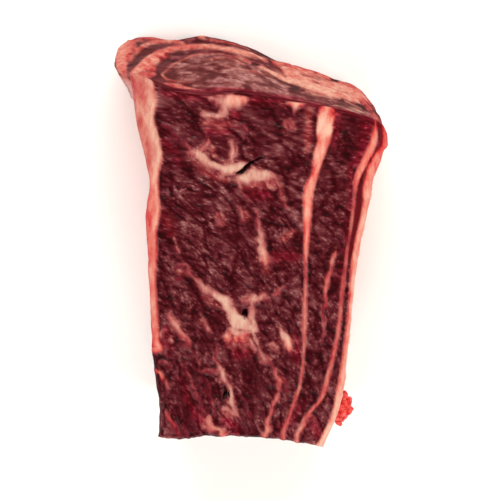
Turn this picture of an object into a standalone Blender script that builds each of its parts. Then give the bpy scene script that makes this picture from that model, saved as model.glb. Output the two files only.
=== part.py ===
"""A boneless braising beef rib: one thick block, lying on one of its two cut faces.

The block was cut across the rib, so its layers stand side by side and each runs through the
whole thickness. From the bone side outwards they are the bone side's fat, the large rib muscle,
a seam of fat, an outer muscle, a thin line of fat, a strip of cap muscle and the outer fat.
A scrap of minced meat sticks to the outer fat.

Lengths are in millimetres until a mesh is written. On the upper cut face, across is X and
along is Y, and the curves below were measured from the middle of the cut face.
"""

import math

import bmesh
import bpy
import numpy as np

COLLECTION = "braising_beef_rib"
MM = 0.001

THICKNESS = 45.0
UPPER_ROUND = 0.9
LOWER_ROUND = 3.5
GAP = 0.3

# The soft lower edge presses the layers together up to this far from the walls.
PRESSED_REACH = 14.0

# Where the middle of the whole block is, from the middle of the cut face.
CENTRE_ACROSS = -1.69
CENTRE_ALONG = 2.9

# Each curve is a list of (along, across) points that a smooth line runs through.
BONE_SIDE = ((-46, -26.6), (-33, -27.1), (-14, -28.2), (4, -29.3), (14, -29.0), (21, -28.3), (29, -29.8),
             (36, -31.3), (52, -33.2))
BONE_FAT_INSIDE = ((-23, -23.8), (-10, -25.5), (14, -25.6), (24, -25.4), (31, -24.8), (43, -26.0), (52, -27.2))
SEAM_INSIDE = ((-45, 6.2), (-39, 8.5), (-32, 10.8), (-18, 12.0), (6, 12.2), (20, 12.0), (28, 13.2), (44, 16.2))
SEAM_WIDTH = ((-45, 2.0), (-32, 1.5), (-8, 1.5), (6, 1.8), (14, 2.8), (20, 3.2), (28, 4.2), (36, 6.0), (44, 6.3))
FAT_LINE = ((-46, 10.8), (-41, 13.2), (-36, 17.0), (-30, 18.9), (-18, 21.6), (-7, 22.7), (10, 24.8), (25, 27.4),
            (34, 30.7), (39, 31.2))
FAT_LINE_WIDTH = 1.1
OUTER_FAT_WIDTH = ((-49, 3.2), (-40, 2.6), (-30, 1.8), (8, 1.7), (20, 1.8), (30, 2.2), (38, 1.4))
OUTER_SIDE = ((-49, 18.0), (-42, 21.2), (-36, 22.7), (-18, 24.9), (3, 27.2), (18, 30.1), (24, 31.0), (29, 33.0),
              (34, 34.9), (38, 34.3))

# The two ends are (across, along) curves.
UPPER_END = ((-38, 50.5), (-34, 51.6), (-21, 48.4), (-14, 47.4), (-5, 48.0), (7, 45.8), (21, 43.0), (31, 39.7),
             (33.5, 38.0), (35, 35.6))
LOWER_END = ((-27, -46.2), (-20, -47.2), (-13, -46.6), (2, -47.3), (10, -48.1), (18, -48.9))

# How far the upper end leans out at the lower cut face, mostly in its upper half.
UPPER_END_LEAN = ((-34, 2.8), (-22, 5.6), (-14, 7.5), (-6, 6.0), (0, 4.6), (5, 3.0), (11, 1.8), (19, 0.6), (27, -0.3),
                  (31, -2.0), (35, -5.0))
LEAN_POWER = 1.6
LOWER_END_LEAN = 1.2

# The fat lump where the bone side meets the upper end. It swells out under the cut face and fades lower down.
LUMP_REACH = 4.6
LUMP_ALONG = 53.0
LUMP_LENGTH = 9.0
LUMP_DEPTH = 12.0
LUMP_FADES_FROM = 28.0
LUMP_FADES_BY = 0.6

# The outer corner of the upper end draws in below the cut face.
TUCK_REACH = 4.2
TUCK_FROM = 27.0
TUCK_LENGTH = 11.0

RIB_HOLLOW = 1.4
OUTER_SIDE_BULGE = 0.7

# How far the inner boundaries have wandered at the lower cut face: outwards, inwards and inwards.
BONE_FAT_DRIFT = 0.6
SEAM_DRIFT = 2.2
FAT_LINE_DRIFT = 1.0

FACE_RELIEF = 0.45
FACE_HILLS = 26.0
WALL_RELIEF = 0.5
WALL_HILLS = 19.0
RELIEF_DEPTH = 12.0

# The lattice that each layer is cut into. A row is a place between the lower end (0) and the upper end (1).
ROWS = np.linspace(0, 1, 21)
LOWER_EDGE_LEVEL = 1.0
WALL_LEVELS = np.linspace(LOWER_ROUND, THICKNESS - UPPER_ROUND, 8)
LEVELS = np.concatenate(([0, LOWER_EDGE_LEVEL], WALL_LEVELS, [THICKNESS]))
LARGE_MUSCLE_COLUMNS = 8
OUTER_MUSCLE_COLUMNS = 3

# The fat of the bone side ends at this row, and the large muscle steps out to the bone side under it.
BONE_FAT_END = ROWS[5]
STEP = 0.004

SCRAP_ALONG = -40.2
SCRAP_HEIGHT = 27.0
SCRAP_RADII = (2.6, 4.6, 3.8)
SCRAP_FROM_SIDE = 1.4
SCRAP_CLEARANCE = 0.45
SCRAP_LUMPS = 0.14
SCRAP_LUMP_SIZE = 1.7

# Colour, roughness and metallic value of each piece.
LOOKS = {
    "bone_side_fat": ((0.72, 0.30, 0.22), 0.38, 0.0),
    "rib_muscle": ((0.12, 0.012, 0.022), 0.35, 0.0),
    "fat_seam": ((0.74, 0.32, 0.26), 0.38, 0.0),
    "outer_muscle": ((0.10, 0.012, 0.018), 0.35, 0.0),
    "fat_line": ((0.70, 0.26, 0.18), 0.38, 0.0),
    "cap_muscle": ((0.13, 0.014, 0.018), 0.35, 0.0),
    "outer_fat": ((0.78, 0.36, 0.25), 0.40, 0.0),
    "meat_scrap": ((0.62, 0.06, 0.05), 0.35, 0.0),
}


def curve(points, at):
    """Read the smooth line through (where, value) points at the places in at."""
    where, value = np.array(points, dtype=float).T
    slope = np.gradient(value, where)
    at = np.clip(at, where[0], where[-1])
    i = np.clip(np.searchsorted(where, at) - 1, 0, len(where) - 2)
    span = where[i + 1] - where[i]
    t = (at - where[i]) / span
    rise = 3 * t**2 - 2 * t**3
    return (value[i] * (1 - rise) + value[i + 1] * rise
            + span * slope[i] * (t**3 - 2 * t**2 + t)
            + span * slope[i + 1] * (t**3 - t**2))


def swell(a, b, hills):
    """A soft unevenness between -1 and 1, with hills about that wide."""
    k = math.tau / hills
    return (np.sin(k * (0.9 * a + 0.4 * b))
            + np.sin(k * (0.7 * b - 0.5 * a) + 1.3)
            + np.sin(k * (0.5 * a + 1.1 * b) + 2.1)) / 3


def mix(a, b, t):
    return a + (b - a) * t


def soft_step(t):
    t = np.clip(t, 0, 1)
    return 3 * t**2 - 2 * t**3


def rounding(from_face, radius):
    """How far a wall is set in at a distance from a cut face, for a rounded edge."""
    into_edge = np.clip(1 - from_face / radius, 0, 1)
    return radius * (1 - np.sqrt(1 - into_edge**2))


def near(distance):
    """1 at a wall, falling to 0 where the pressing of the lower edge ends."""
    return np.clip(1 - distance / PRESSED_REACH, 0, 1)


# The eight boundaries between and around the layers, as x for a place along the block and a depth
# under the upper cut face.

def bone_side(along, depth):
    lump = LUMP_REACH * np.exp(-((along - LUMP_ALONG) / LUMP_LENGTH) ** 2) * soft_step(depth / LUMP_DEPTH)
    lump = lump * (1 - LUMP_FADES_BY * soft_step((depth - LUMP_FADES_FROM) / (THICKNESS - LUMP_FADES_FROM)))
    hollow = RIB_HOLLOW * np.sin(math.pi * depth / THICKNESS) * soft_step((LUMP_ALONG - along) / LUMP_LENGTH - 1)
    uneven = WALL_RELIEF * swell(along, depth, WALL_HILLS)
    return curve(BONE_SIDE, along) - lump + hollow + uneven + rounding(depth, UPPER_ROUND)


def bone_fat_inside(along, depth):
    return curve(BONE_FAT_INSIDE, along) + BONE_FAT_DRIFT * depth / THICKNESS


def seam_inside(along, depth):
    return curve(SEAM_INSIDE, along) - SEAM_DRIFT * depth / THICKNESS


def seam_outside(along, depth):
    return seam_inside(along, depth) + curve(SEAM_WIDTH, along)


def outer_drift(along, depth):
    """How far the outer layers have moved inwards at a depth."""
    tuck = TUCK_REACH * soft_step((along - TUCK_FROM) / TUCK_LENGTH)
    return (FAT_LINE_DRIFT + tuck) * depth / THICKNESS


def fat_line_inside(along, depth):
    return curve(FAT_LINE, along) - FAT_LINE_WIDTH / 2 - outer_drift(along, depth)


def fat_line_outside(along, depth):
    return fat_line_inside(along, depth) + FAT_LINE_WIDTH


def outer_side(along, depth):
    bulge = OUTER_SIDE_BULGE * np.sin(math.pi * depth / THICKNESS)
    tuck = TUCK_REACH * soft_step((along - TUCK_FROM) / TUCK_LENGTH) * depth / THICKNESS
    uneven = WALL_RELIEF * swell(along, depth, WALL_HILLS) * soft_step(depth / RELIEF_DEPTH)
    return curve(OUTER_SIDE, along) + bulge - tuck + uneven - rounding(depth, UPPER_ROUND)


def outer_fat_inside(along, depth):
    flush = curve(OUTER_SIDE, along) - curve(OUTER_FAT_WIDTH, along)
    return flush - outer_drift(along, depth)


# The two ends of the block, as y for a place across it and a depth.

def upper_end(across, depth):
    lean = curve(UPPER_END_LEAN, across) * (1 - (1 - depth / THICKNESS) ** LEAN_POWER)
    uneven = WALL_RELIEF * swell(across, depth, WALL_HILLS) * soft_step(depth / RELIEF_DEPTH)
    return curve(UPPER_END, across) + lean + uneven - rounding(depth, UPPER_ROUND)


def lower_end(across, depth):
    uneven = WALL_RELIEF * swell(across, depth, WALL_HILLS)
    return curve(LOWER_END, across) + LOWER_END_LEAN * depth / THICKNESS + uneven + rounding(depth, UPPER_ROUND)


def across_at(side, row, depth):
    """Where a boundary stands at a row between the lower end (0) and the upper end (1)."""
    across = side(0 * row, depth)
    for _ in range(4):
        along = mix(lower_end(across, depth), upper_end(across, depth), row)
        across = side(along, depth)
    return across


def large_muscle_side(row, depth):
    """The large muscle's bone side: under the fat where there is fat, and bare below its end."""
    covered = row > BONE_FAT_END - STEP / 2
    under_fat = across_at(bone_fat_inside, row, depth) + GAP / 2
    return np.where(covered, under_fat, across_at(bone_side, row, depth))


def stands_at(side, inset=GAP / 2):
    """A layer's side as a function of row and depth, set in by half the gap to its neighbour."""
    return lambda row, depth: across_at(side, row, depth) + inset


def lattice(columns, rows, levels):
    """A unit cube, cut into a lattice of quads at the stops given along each axis."""
    bm = bmesh.new()
    bmesh.ops.create_cube(bm, size=1.0)
    for axis, stops in enumerate((columns, rows, levels)):
        for stop in stops[1:-1]:
            place = [0.0, 0.0, 0.0]
            place[axis] = stop - 0.5
            normal = [0.0, 0.0, 0.0]
            normal[axis] = 1.0
            everything = bm.verts[:] + bm.edges[:] + bm.faces[:]
            bmesh.ops.bisect_plane(bm, geom=everything, plane_co=place, plane_no=normal, dist=1e-6)
    return bm


def material(name):
    colour, roughness, metallic = LOOKS[name]
    made = bpy.data.materials.new(name)
    made.use_nodes = True
    shader = made.node_tree.nodes["Principled BSDF"]
    shader.inputs["Base Color"].default_value = (*colour, 1.0)
    shader.inputs["Roughness"].default_value = roughness
    shader.inputs["Metallic"].default_value = metallic
    return made


def keep(name, bm, placed, collection):
    """Write the placed points, in millimetres, into the mesh and link it as one named object."""
    for vert, point in zip(bm.verts, placed):
        vert.co = (point[0] * MM, point[1] * MM, point[2] * MM)
    bmesh.ops.triangulate(bm, faces=bm.faces[:])
    mesh = bpy.data.meshes.new(name)
    bm.to_mesh(mesh)
    bm.free()
    mesh.materials.append(material(name))
    collection.objects.link(bpy.data.objects.new(name, mesh))


def layer(name, left, right, columns, collection, rows=ROWS):
    """Warp a lattice of the unit cube into one layer between two of the boundaries."""
    bm = lattice(np.linspace(0, 1, columns + 1), (rows - rows[0]) / (1 - rows[0]), LEVELS / THICKNESS)
    column, row, level = np.array([vert.co for vert in bm.verts]).T + 0.5
    row = mix(rows[0], 1, row)
    depth = THICKNESS * (1 - level)
    x = mix(left(row, depth), right(row, depth), column)
    low, high = lower_end(x, depth), upper_end(x, depth)
    y = mix(low, high, row)
    pressed = rounding(THICKNESS - depth, LOWER_ROUND)
    x = x + pressed * (near(x - bone_side(y, depth)) - near(outer_side(y, depth) - x))
    y = y + pressed * (near(y - low) - near(high - y))
    z = level * (THICKNESS - FACE_RELIEF + FACE_RELIEF * swell(x, y, FACE_HILLS))
    placed = np.stack((x - CENTRE_ACROSS, y - CENTRE_ALONG, z), axis=1)
    keep(name, bm, placed, collection)


def scrap(name, collection):
    """A lumpy ball of minced meat, flattened where it sticks to the outer fat."""
    bm = bmesh.new()
    bmesh.ops.create_icosphere(bm, subdivisions=3, radius=1.0)
    ball = np.array([vert.co for vert in bm.verts])
    lumps = 1 + SCRAP_LUMPS * swell(ball[:, 1], ball[:, 2] + ball[:, 0], SCRAP_LUMP_SIZE)
    x, y, z = (ball * lumps[:, None] * SCRAP_RADII).T
    y = y + SCRAP_ALONG
    z = z + SCRAP_HEIGHT
    side = outer_side(y, THICKNESS - z)
    x = np.maximum(x + side + SCRAP_FROM_SIDE, side + SCRAP_CLEARANCE)
    placed = np.stack((x - CENTRE_ACROSS, y - CENTRE_ALONG, z), axis=1)
    keep(name, bm, placed, collection)


def main():
    for old in list(bpy.data.objects):
        bpy.data.objects.remove(old)
    collection = bpy.data.collections.new(COLLECTION)
    bpy.context.scene.collection.children.link(collection)
    above_end = ROWS[ROWS > BONE_FAT_END]
    layer("bone_side_fat", stands_at(bone_side, 0), stands_at(bone_fat_inside, -GAP / 2), 2, collection,
          rows=np.concatenate(([BONE_FAT_END + STEP], above_end)))
    layer("rib_muscle", large_muscle_side, stands_at(seam_inside, -GAP / 2), LARGE_MUSCLE_COLUMNS, collection,
          rows=np.sort(np.append(ROWS, BONE_FAT_END - STEP)))
    layer("fat_seam", stands_at(seam_inside), stands_at(seam_outside, -GAP / 2), 1, collection)
    layer("outer_muscle", stands_at(seam_outside), stands_at(fat_line_inside, -GAP / 2), OUTER_MUSCLE_COLUMNS,
          collection)
    layer("fat_line", stands_at(fat_line_inside), stands_at(fat_line_outside, -GAP / 2), 1, collection)
    layer("cap_muscle", stands_at(fat_line_outside), stands_at(outer_fat_inside, -GAP / 2), 1, collection)
    layer("outer_fat", stands_at(outer_fat_inside), stands_at(outer_side, 0), 2, collection)
    scrap("meat_scrap", collection)


main()
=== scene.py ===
# %% [markdown]
# # A boneless braising beef rib
# One raw block of short rib lies on a cut face. Its layers stand side by side: fat from the bone side,
# a large marbled muscle, a seam of soft fat, a darker outer muscle, a thin line of fat, a strip of cap
# muscle and the outer fat. A scrap of minced meat sticks to its side.
# This lesson dresses the CAD solids: the frame gives the box that the block fills, and each solid is
# replaced by a much finer mesh with the fibres, the marbling and the moist finish of raw beef.

# %% Load the frame
import math

import bpy
import numpy as np
from mathutils import Matrix, Vector


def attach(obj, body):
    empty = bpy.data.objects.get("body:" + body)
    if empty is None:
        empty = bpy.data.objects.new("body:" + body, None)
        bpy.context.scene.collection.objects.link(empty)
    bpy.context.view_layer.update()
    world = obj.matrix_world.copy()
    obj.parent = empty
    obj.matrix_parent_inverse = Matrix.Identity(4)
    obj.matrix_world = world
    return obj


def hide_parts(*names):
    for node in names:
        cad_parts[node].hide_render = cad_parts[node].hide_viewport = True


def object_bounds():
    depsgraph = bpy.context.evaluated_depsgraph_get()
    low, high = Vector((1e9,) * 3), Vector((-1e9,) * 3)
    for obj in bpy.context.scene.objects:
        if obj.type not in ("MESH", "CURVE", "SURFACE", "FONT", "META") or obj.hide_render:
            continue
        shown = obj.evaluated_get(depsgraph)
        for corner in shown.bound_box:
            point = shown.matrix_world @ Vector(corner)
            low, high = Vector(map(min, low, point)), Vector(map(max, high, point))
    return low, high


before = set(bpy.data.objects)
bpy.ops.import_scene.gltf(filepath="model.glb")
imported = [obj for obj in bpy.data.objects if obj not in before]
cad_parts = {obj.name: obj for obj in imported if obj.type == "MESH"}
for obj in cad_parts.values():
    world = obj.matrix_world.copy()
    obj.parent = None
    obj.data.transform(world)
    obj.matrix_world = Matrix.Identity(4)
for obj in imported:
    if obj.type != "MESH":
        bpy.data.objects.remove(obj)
cad_low, cad_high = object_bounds()
print("CAD box, mm:", [round(1000 * side, 1) for side in cad_high - cad_low])

# %% [markdown]
# ## Smooth lines and gradual changes
# Nearly every shape and colour below is a smooth line through measured points, a soft unevenness, or a
# gradual change from one value to another. Curve objects could carry the lines, but here thousands of
# mesh points ask for values at once, and arrays answer them all in one call. So these are functions.

# %% Small helpers
SWELL_WAVES = ((0.9, 0.4, 0.0), (-0.5, 0.7, 1.3), (0.5, 1.1, 2.1))


def curve(points, at):
    """Read the smooth line through (where, value) points at the places in at."""
    where, value = np.array(points, dtype=float).T
    slope = np.gradient(value, where)
    at = np.clip(at, where[0], where[-1])
    i = np.clip(np.searchsorted(where, at) - 1, 0, len(where) - 2)
    span = where[i + 1] - where[i]
    t = (at - where[i]) / span
    rise = 3 * t**2 - 2 * t**3
    return (value[i] * (1 - rise) + value[i + 1] * rise
            + span * slope[i] * (t**3 - 2 * t**2 + t)
            + span * slope[i + 1] * (t**3 - t**2))


def swell(a, b, hills):
    """A soft unevenness between -1 and 1, with hills about that wide: three waves that cross."""
    k = math.tau / hills
    waves = [np.sin(k * (per_a * a + per_b * b) + phase) for per_a, per_b, phase in SWELL_WAVES]
    return sum(waves) / len(waves)


def mix(a, b, t):
    """From a to b as t goes from 0 to 1."""
    return a + (b - a) * t


def soft_step(t):
    """The same as t from 0 to 1, with a level start and end, and flat outside."""
    t = np.clip(t, 0, 1)
    return 3 * t**2 - 2 * t**3


def fade(at, start, length):
    """From 0 at the start to 1 a length further on, or further back where the length is negative."""
    return soft_step((at - start) / length)


def soft_edge(inside, width):
    """From 0 outside to 1 inside, where inside is a signed distance and the edge is that wide."""
    return soft_step(inside / width + 0.5)


print("a soft step is at a quarter:", soft_step(0.25), "and at a half:", soft_step(0.5))

# %% [markdown]
# ## The two ends of the block
# A block of meat has no straight edge and no flat wall, so it could be sculpted by hand. But its layers
# follow each other like the pages of a book, and that is a rule: each boundary between two layers is
# one smooth line on the cut face that drifts a little with the depth under it. So the block is written
# as lines through a few measured points, the same ones that the solids were made from. All lengths are
# in millimetres until a mesh is written: across is from the bone side to the outer fat, along is
# towards the upper end, and depth is measured down from the upper cut face. The upper end bulges out
# towards its foot, which is why it shows from above.

# %% The end walls
THICKNESS = 45.0
UPPER_ROUND = 0.9
PRESSED_REACH = 14.0
WALL_RELIEF = 0.5
WALL_HILLS = 19.0
RELIEF_DEPTH = 12.0
UPPER_END = ((-38, 50.5), (-34, 51.6), (-21, 48.4), (-14, 47.4), (-5, 48.0), (7, 45.8), (21, 43.0),
             (31, 39.7), (33.5, 38.0), (35, 35.6))
LOWER_END = ((-27, -46.2), (-20, -47.2), (-13, -46.6), (2, -47.3), (10, -48.1), (18, -48.9))
UPPER_END_LEAN = ((-34, 2.8), (-22, 5.6), (-14, 7.5), (-6, 6.0), (0, 4.6), (5, 3.0), (11, 1.8), (19, 0.6),
                  (27, -0.3), (31, -2.0), (35, -5.0))
LEAN_POWER = 1.6
LOWER_END_LEAN = 1.2


def rounding(from_face, radius):
    """How far a wall is set in at a distance from a cut face, for a rounded edge."""
    into_edge = np.clip(1 - from_face / radius, 0, 1)
    return radius * (1 - np.sqrt(1 - into_edge**2))


def near(distance, reach=PRESSED_REACH):
    """From 1 at no distance to 0 at the reach."""
    return np.clip(1 - distance / reach, 0, 1)


def upper_end(across, depth):
    lean = curve(UPPER_END_LEAN, across) * (1 - (1 - depth / THICKNESS) ** LEAN_POWER)
    uneven = WALL_RELIEF * swell(across, depth, WALL_HILLS) * fade(depth, 0, RELIEF_DEPTH)
    return curve(UPPER_END, across) + lean + uneven - rounding(depth, UPPER_ROUND)


def lower_end(across, depth):
    uneven = WALL_RELIEF * swell(across, depth, WALL_HILLS)
    return (curve(LOWER_END, across) + LOWER_END_LEAN * depth / THICKNESS + uneven
            + rounding(depth, UPPER_ROUND))


print("length of the cut face, mm:", round(float(upper_end(0.0, 0.0) - lower_end(0.0, 0.0)), 1))

# %% [markdown]
# ## The bone side
# A rib lay along this side. Its fat has a lump at the upper end that hangs over the side, and the rib
# left a shallow hollow in the rest. Both are small sums on top of the measured line, which is easier to
# adjust than a sculpted surface, because each has a reach and a length of its own.

# %% The bone side and the inside of its fat
BONE_SIDE = ((-46, -26.6), (-33, -27.1), (-14, -28.2), (4, -29.3), (14, -29.0), (21, -28.3), (29, -29.8),
             (36, -31.3), (52, -33.2))
BONE_FAT_INSIDE = ((-23, -23.8), (-10, -25.5), (14, -25.6), (24, -25.4), (31, -24.8), (43, -26.0),
                   (52, -27.2))
BONE_FAT_DRIFT = 0.6
LUMP_REACH = 4.6
LUMP_ALONG = 53.0
LUMP_LENGTH = 9.0
LUMP_DEPTH = 12.0
LUMP_FADES_FROM = 28.0
LUMP_FADES_BY = 0.6
RIB_HOLLOW = 1.4


def bone_side(along, depth):
    lump = LUMP_REACH * np.exp(-((along - LUMP_ALONG) / LUMP_LENGTH) ** 2) * fade(depth, 0, LUMP_DEPTH)
    lump = lump * (1 - LUMP_FADES_BY * fade(depth, LUMP_FADES_FROM, THICKNESS - LUMP_FADES_FROM))
    hollow = RIB_HOLLOW * np.sin(math.pi * depth / THICKNESS)
    hollow = hollow * soft_step((LUMP_ALONG - along) / LUMP_LENGTH - 1)
    uneven = WALL_RELIEF * swell(along, depth, WALL_HILLS)
    return curve(BONE_SIDE, along) - lump + hollow + uneven + rounding(depth, UPPER_ROUND)


def bone_fat_inside(along, depth):
    return curve(BONE_FAT_INSIDE, along) + BONE_FAT_DRIFT * depth / THICKNESS


lump_width = float(bone_fat_inside(50.0, LUMP_DEPTH) - bone_side(50.0, LUMP_DEPTH))
print("width of the bone side's fat at its lump, mm:", round(lump_width, 1))

# %% [markdown]
# ## The seam, the thin line and the outer side
# The other boundaries are lines of the same kind. A seam of fat has an inside and a width, so its two
# sides never cross. Near the upper end the outer layers tuck in under the cut face, and one tuck moves
# them all, so they stay together.

# %% The boundaries from the seam to the outer side
SEAM_INSIDE = ((-45, 6.2), (-39, 8.5), (-32, 10.8), (-18, 12.0), (6, 12.2), (20, 12.0), (28, 13.2),
               (44, 16.2))
SEAM_WIDTH = ((-45, 2.0), (-32, 1.5), (-8, 1.5), (6, 1.8), (14, 2.8), (20, 3.2), (28, 4.2), (36, 6.0),
              (44, 6.3))
FAT_LINE = ((-46, 10.8), (-41, 13.2), (-36, 17.0), (-30, 18.9), (-18, 21.6), (-7, 22.7), (10, 24.8),
            (25, 27.4), (34, 30.7), (39, 31.2))
FAT_LINE_WIDTH = 1.1
OUTER_FAT_WIDTH = ((-49, 3.2), (-40, 2.6), (-30, 1.8), (8, 1.7), (20, 1.8), (30, 2.2), (38, 1.4))
OUTER_SIDE = ((-49, 18.0), (-42, 21.2), (-36, 22.7), (-18, 24.9), (3, 27.2), (18, 30.1), (24, 31.0),
              (29, 33.0), (34, 34.9), (38, 34.3))
OUTER_SIDE_BULGE = 0.7
SEAM_DRIFT = 2.2
FAT_LINE_DRIFT = 1.0
TUCK_REACH = 4.2
TUCK_FROM = 27.0
TUCK_LENGTH = 11.0


def seam_inside(along, depth):
    return curve(SEAM_INSIDE, along) - SEAM_DRIFT * depth / THICKNESS


def seam_outside(along, depth):
    return seam_inside(along, depth) + curve(SEAM_WIDTH, along)


def tuck(along):
    """How far the outer layers tuck in towards the lower cut face."""
    return TUCK_REACH * fade(along, TUCK_FROM, TUCK_LENGTH)


def fat_line_inside(along, depth):
    drift = (FAT_LINE_DRIFT + tuck(along)) * depth / THICKNESS
    return curve(FAT_LINE, along) - FAT_LINE_WIDTH / 2 - drift


def fat_line_outside(along, depth):
    return fat_line_inside(along, depth) + FAT_LINE_WIDTH


def outer_fat_inside(along, depth):
    drift = (FAT_LINE_DRIFT + tuck(along)) * depth / THICKNESS
    return curve(OUTER_SIDE, along) - curve(OUTER_FAT_WIDTH, along) - drift


def outer_side(along, depth):
    bulge = OUTER_SIDE_BULGE * np.sin(math.pi * depth / THICKNESS)
    uneven = WALL_RELIEF * swell(along, depth, WALL_HILLS) * fade(depth, 0, RELIEF_DEPTH)
    return (curve(OUTER_SIDE, along) + bulge - tuck(along) * depth / THICKNESS + uneven
            - rounding(depth, UPPER_ROUND))


print("width of the block in the middle, mm:", round(float(outer_side(0.0, 0.0) - bone_side(0.0, 0.0)), 1))

# %% [markdown]
# ## Rows from end to end
# A mesh row runs across all the layers at one share of the way from the lower end to the upper end.
# The boundary's place depends on where it is along the block, and that depends on the place again, so
# a few rounds of both settle it. The bone side's fat ends part way down, and there the muscle steps out.

# %% Where a boundary meets a row
ROWS = 250
SETTLING_ROUNDS = 4
FIRST_BONE_FAT_ROW = 63
BONE_FAT_END = (FIRST_BONE_FAT_ROW - 0.5) / (ROWS - 1)
BONE_FAT_TAPER = 0.016


def across_at(side, row, depth):
    """Where a boundary stands at a row between the lower end (0) and the upper end (1)."""
    across = side(0 * row, depth)
    for _ in range(SETTLING_ROUNDS):
        along = mix(lower_end(across, depth), upper_end(across, depth), row)
        across = side(along, depth)
    return across


def under_bone_fat(row, depth):
    """The large muscle's bone side, which steps out to the open air where the bone side's fat ends."""
    bare = across_at(bone_side, row, depth)
    return mix(bare, across_at(bone_fat_inside, row, depth), fade(row, BONE_FAT_END, BONE_FAT_TAPER))


print("the bone side's fat ends at row", FIRST_BONE_FAT_ROW, "of", ROWS)

# %% [markdown]
# ## Chains of points
# Marbling is fat that grew between bundles of muscle fibre. It branches, swells and breaks off, and it
# lies flush in the cut. It could be a noise pattern, but then no vein would be where the real one is.
# So each vein is a chain of points: how far across and along the block, half its width, and its tone,
# from 0 for cream to 1 for deep red. A point on the cut face then knows how deep it is inside the
# nearest chain, as a signed distance in millimetres, and a shader can draw a crisp edge from that.

# %% How deep a place is in a chain
POINTS_PER_STEP = 3
FAR_OUTSIDE = -30.0
THIN_CHAIN = 0.3


def smoothed(chain):
    """The same chain as a rounded line, with two more points between each two."""
    steps = np.arange(len(chain))
    at = np.linspace(0, steps[-1], POINTS_PER_STEP * steps[-1] + 1)
    return np.stack([curve(list(zip(steps, values)), at) for values in zip(*chain)], axis=1)


def chain_field(chains, a, b):
    """How deep (a, b) is inside the nearest chain, how far below its axis, and its tone there."""
    inside = np.full(a.shape, FAR_OUTSIDE)
    below = np.zeros(a.shape)
    tone = np.zeros(a.shape)
    for chain in map(smoothed, chains):
        for start, end in zip(chain, chain[1:]):
            run = np.subtract(end, start)
            t = ((a - start[0]) * run[0] + (b - start[1]) * run[1]) / (run[0] ** 2 + run[1] ** 2)
            t = np.clip(t, 0, 1)
            half = start[2] + t * run[2]
            off_a, off_b = a - start[0] - t * run[0], b - start[1] - t * run[1]
            here = half - np.hypot(off_a, off_b)
            closer = here > inside
            inside = np.where(closer, here, inside)
            below = np.where(closer, np.clip(-off_b / (half + THIN_CHAIN), -1, 1), below)
            tone = np.where(closer, start[-1] + t * run[-1], tone)
    return inside, below, tone


def join_fields(*fields):
    """The union of several fields: the one that a place is deepest inside gives its values there."""
    joined = list(fields[0])
    for other in fields[1:]:
        deeper = other[0] > joined[0]
        joined = [np.where(deeper, new, old) for new, old in zip(other, joined)]
    return joined


print("a chain of 3 points is drawn with", len(smoothed(((0, 0, 1), (1, 0, 1), (2, 1, 1)))), "points")
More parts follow.
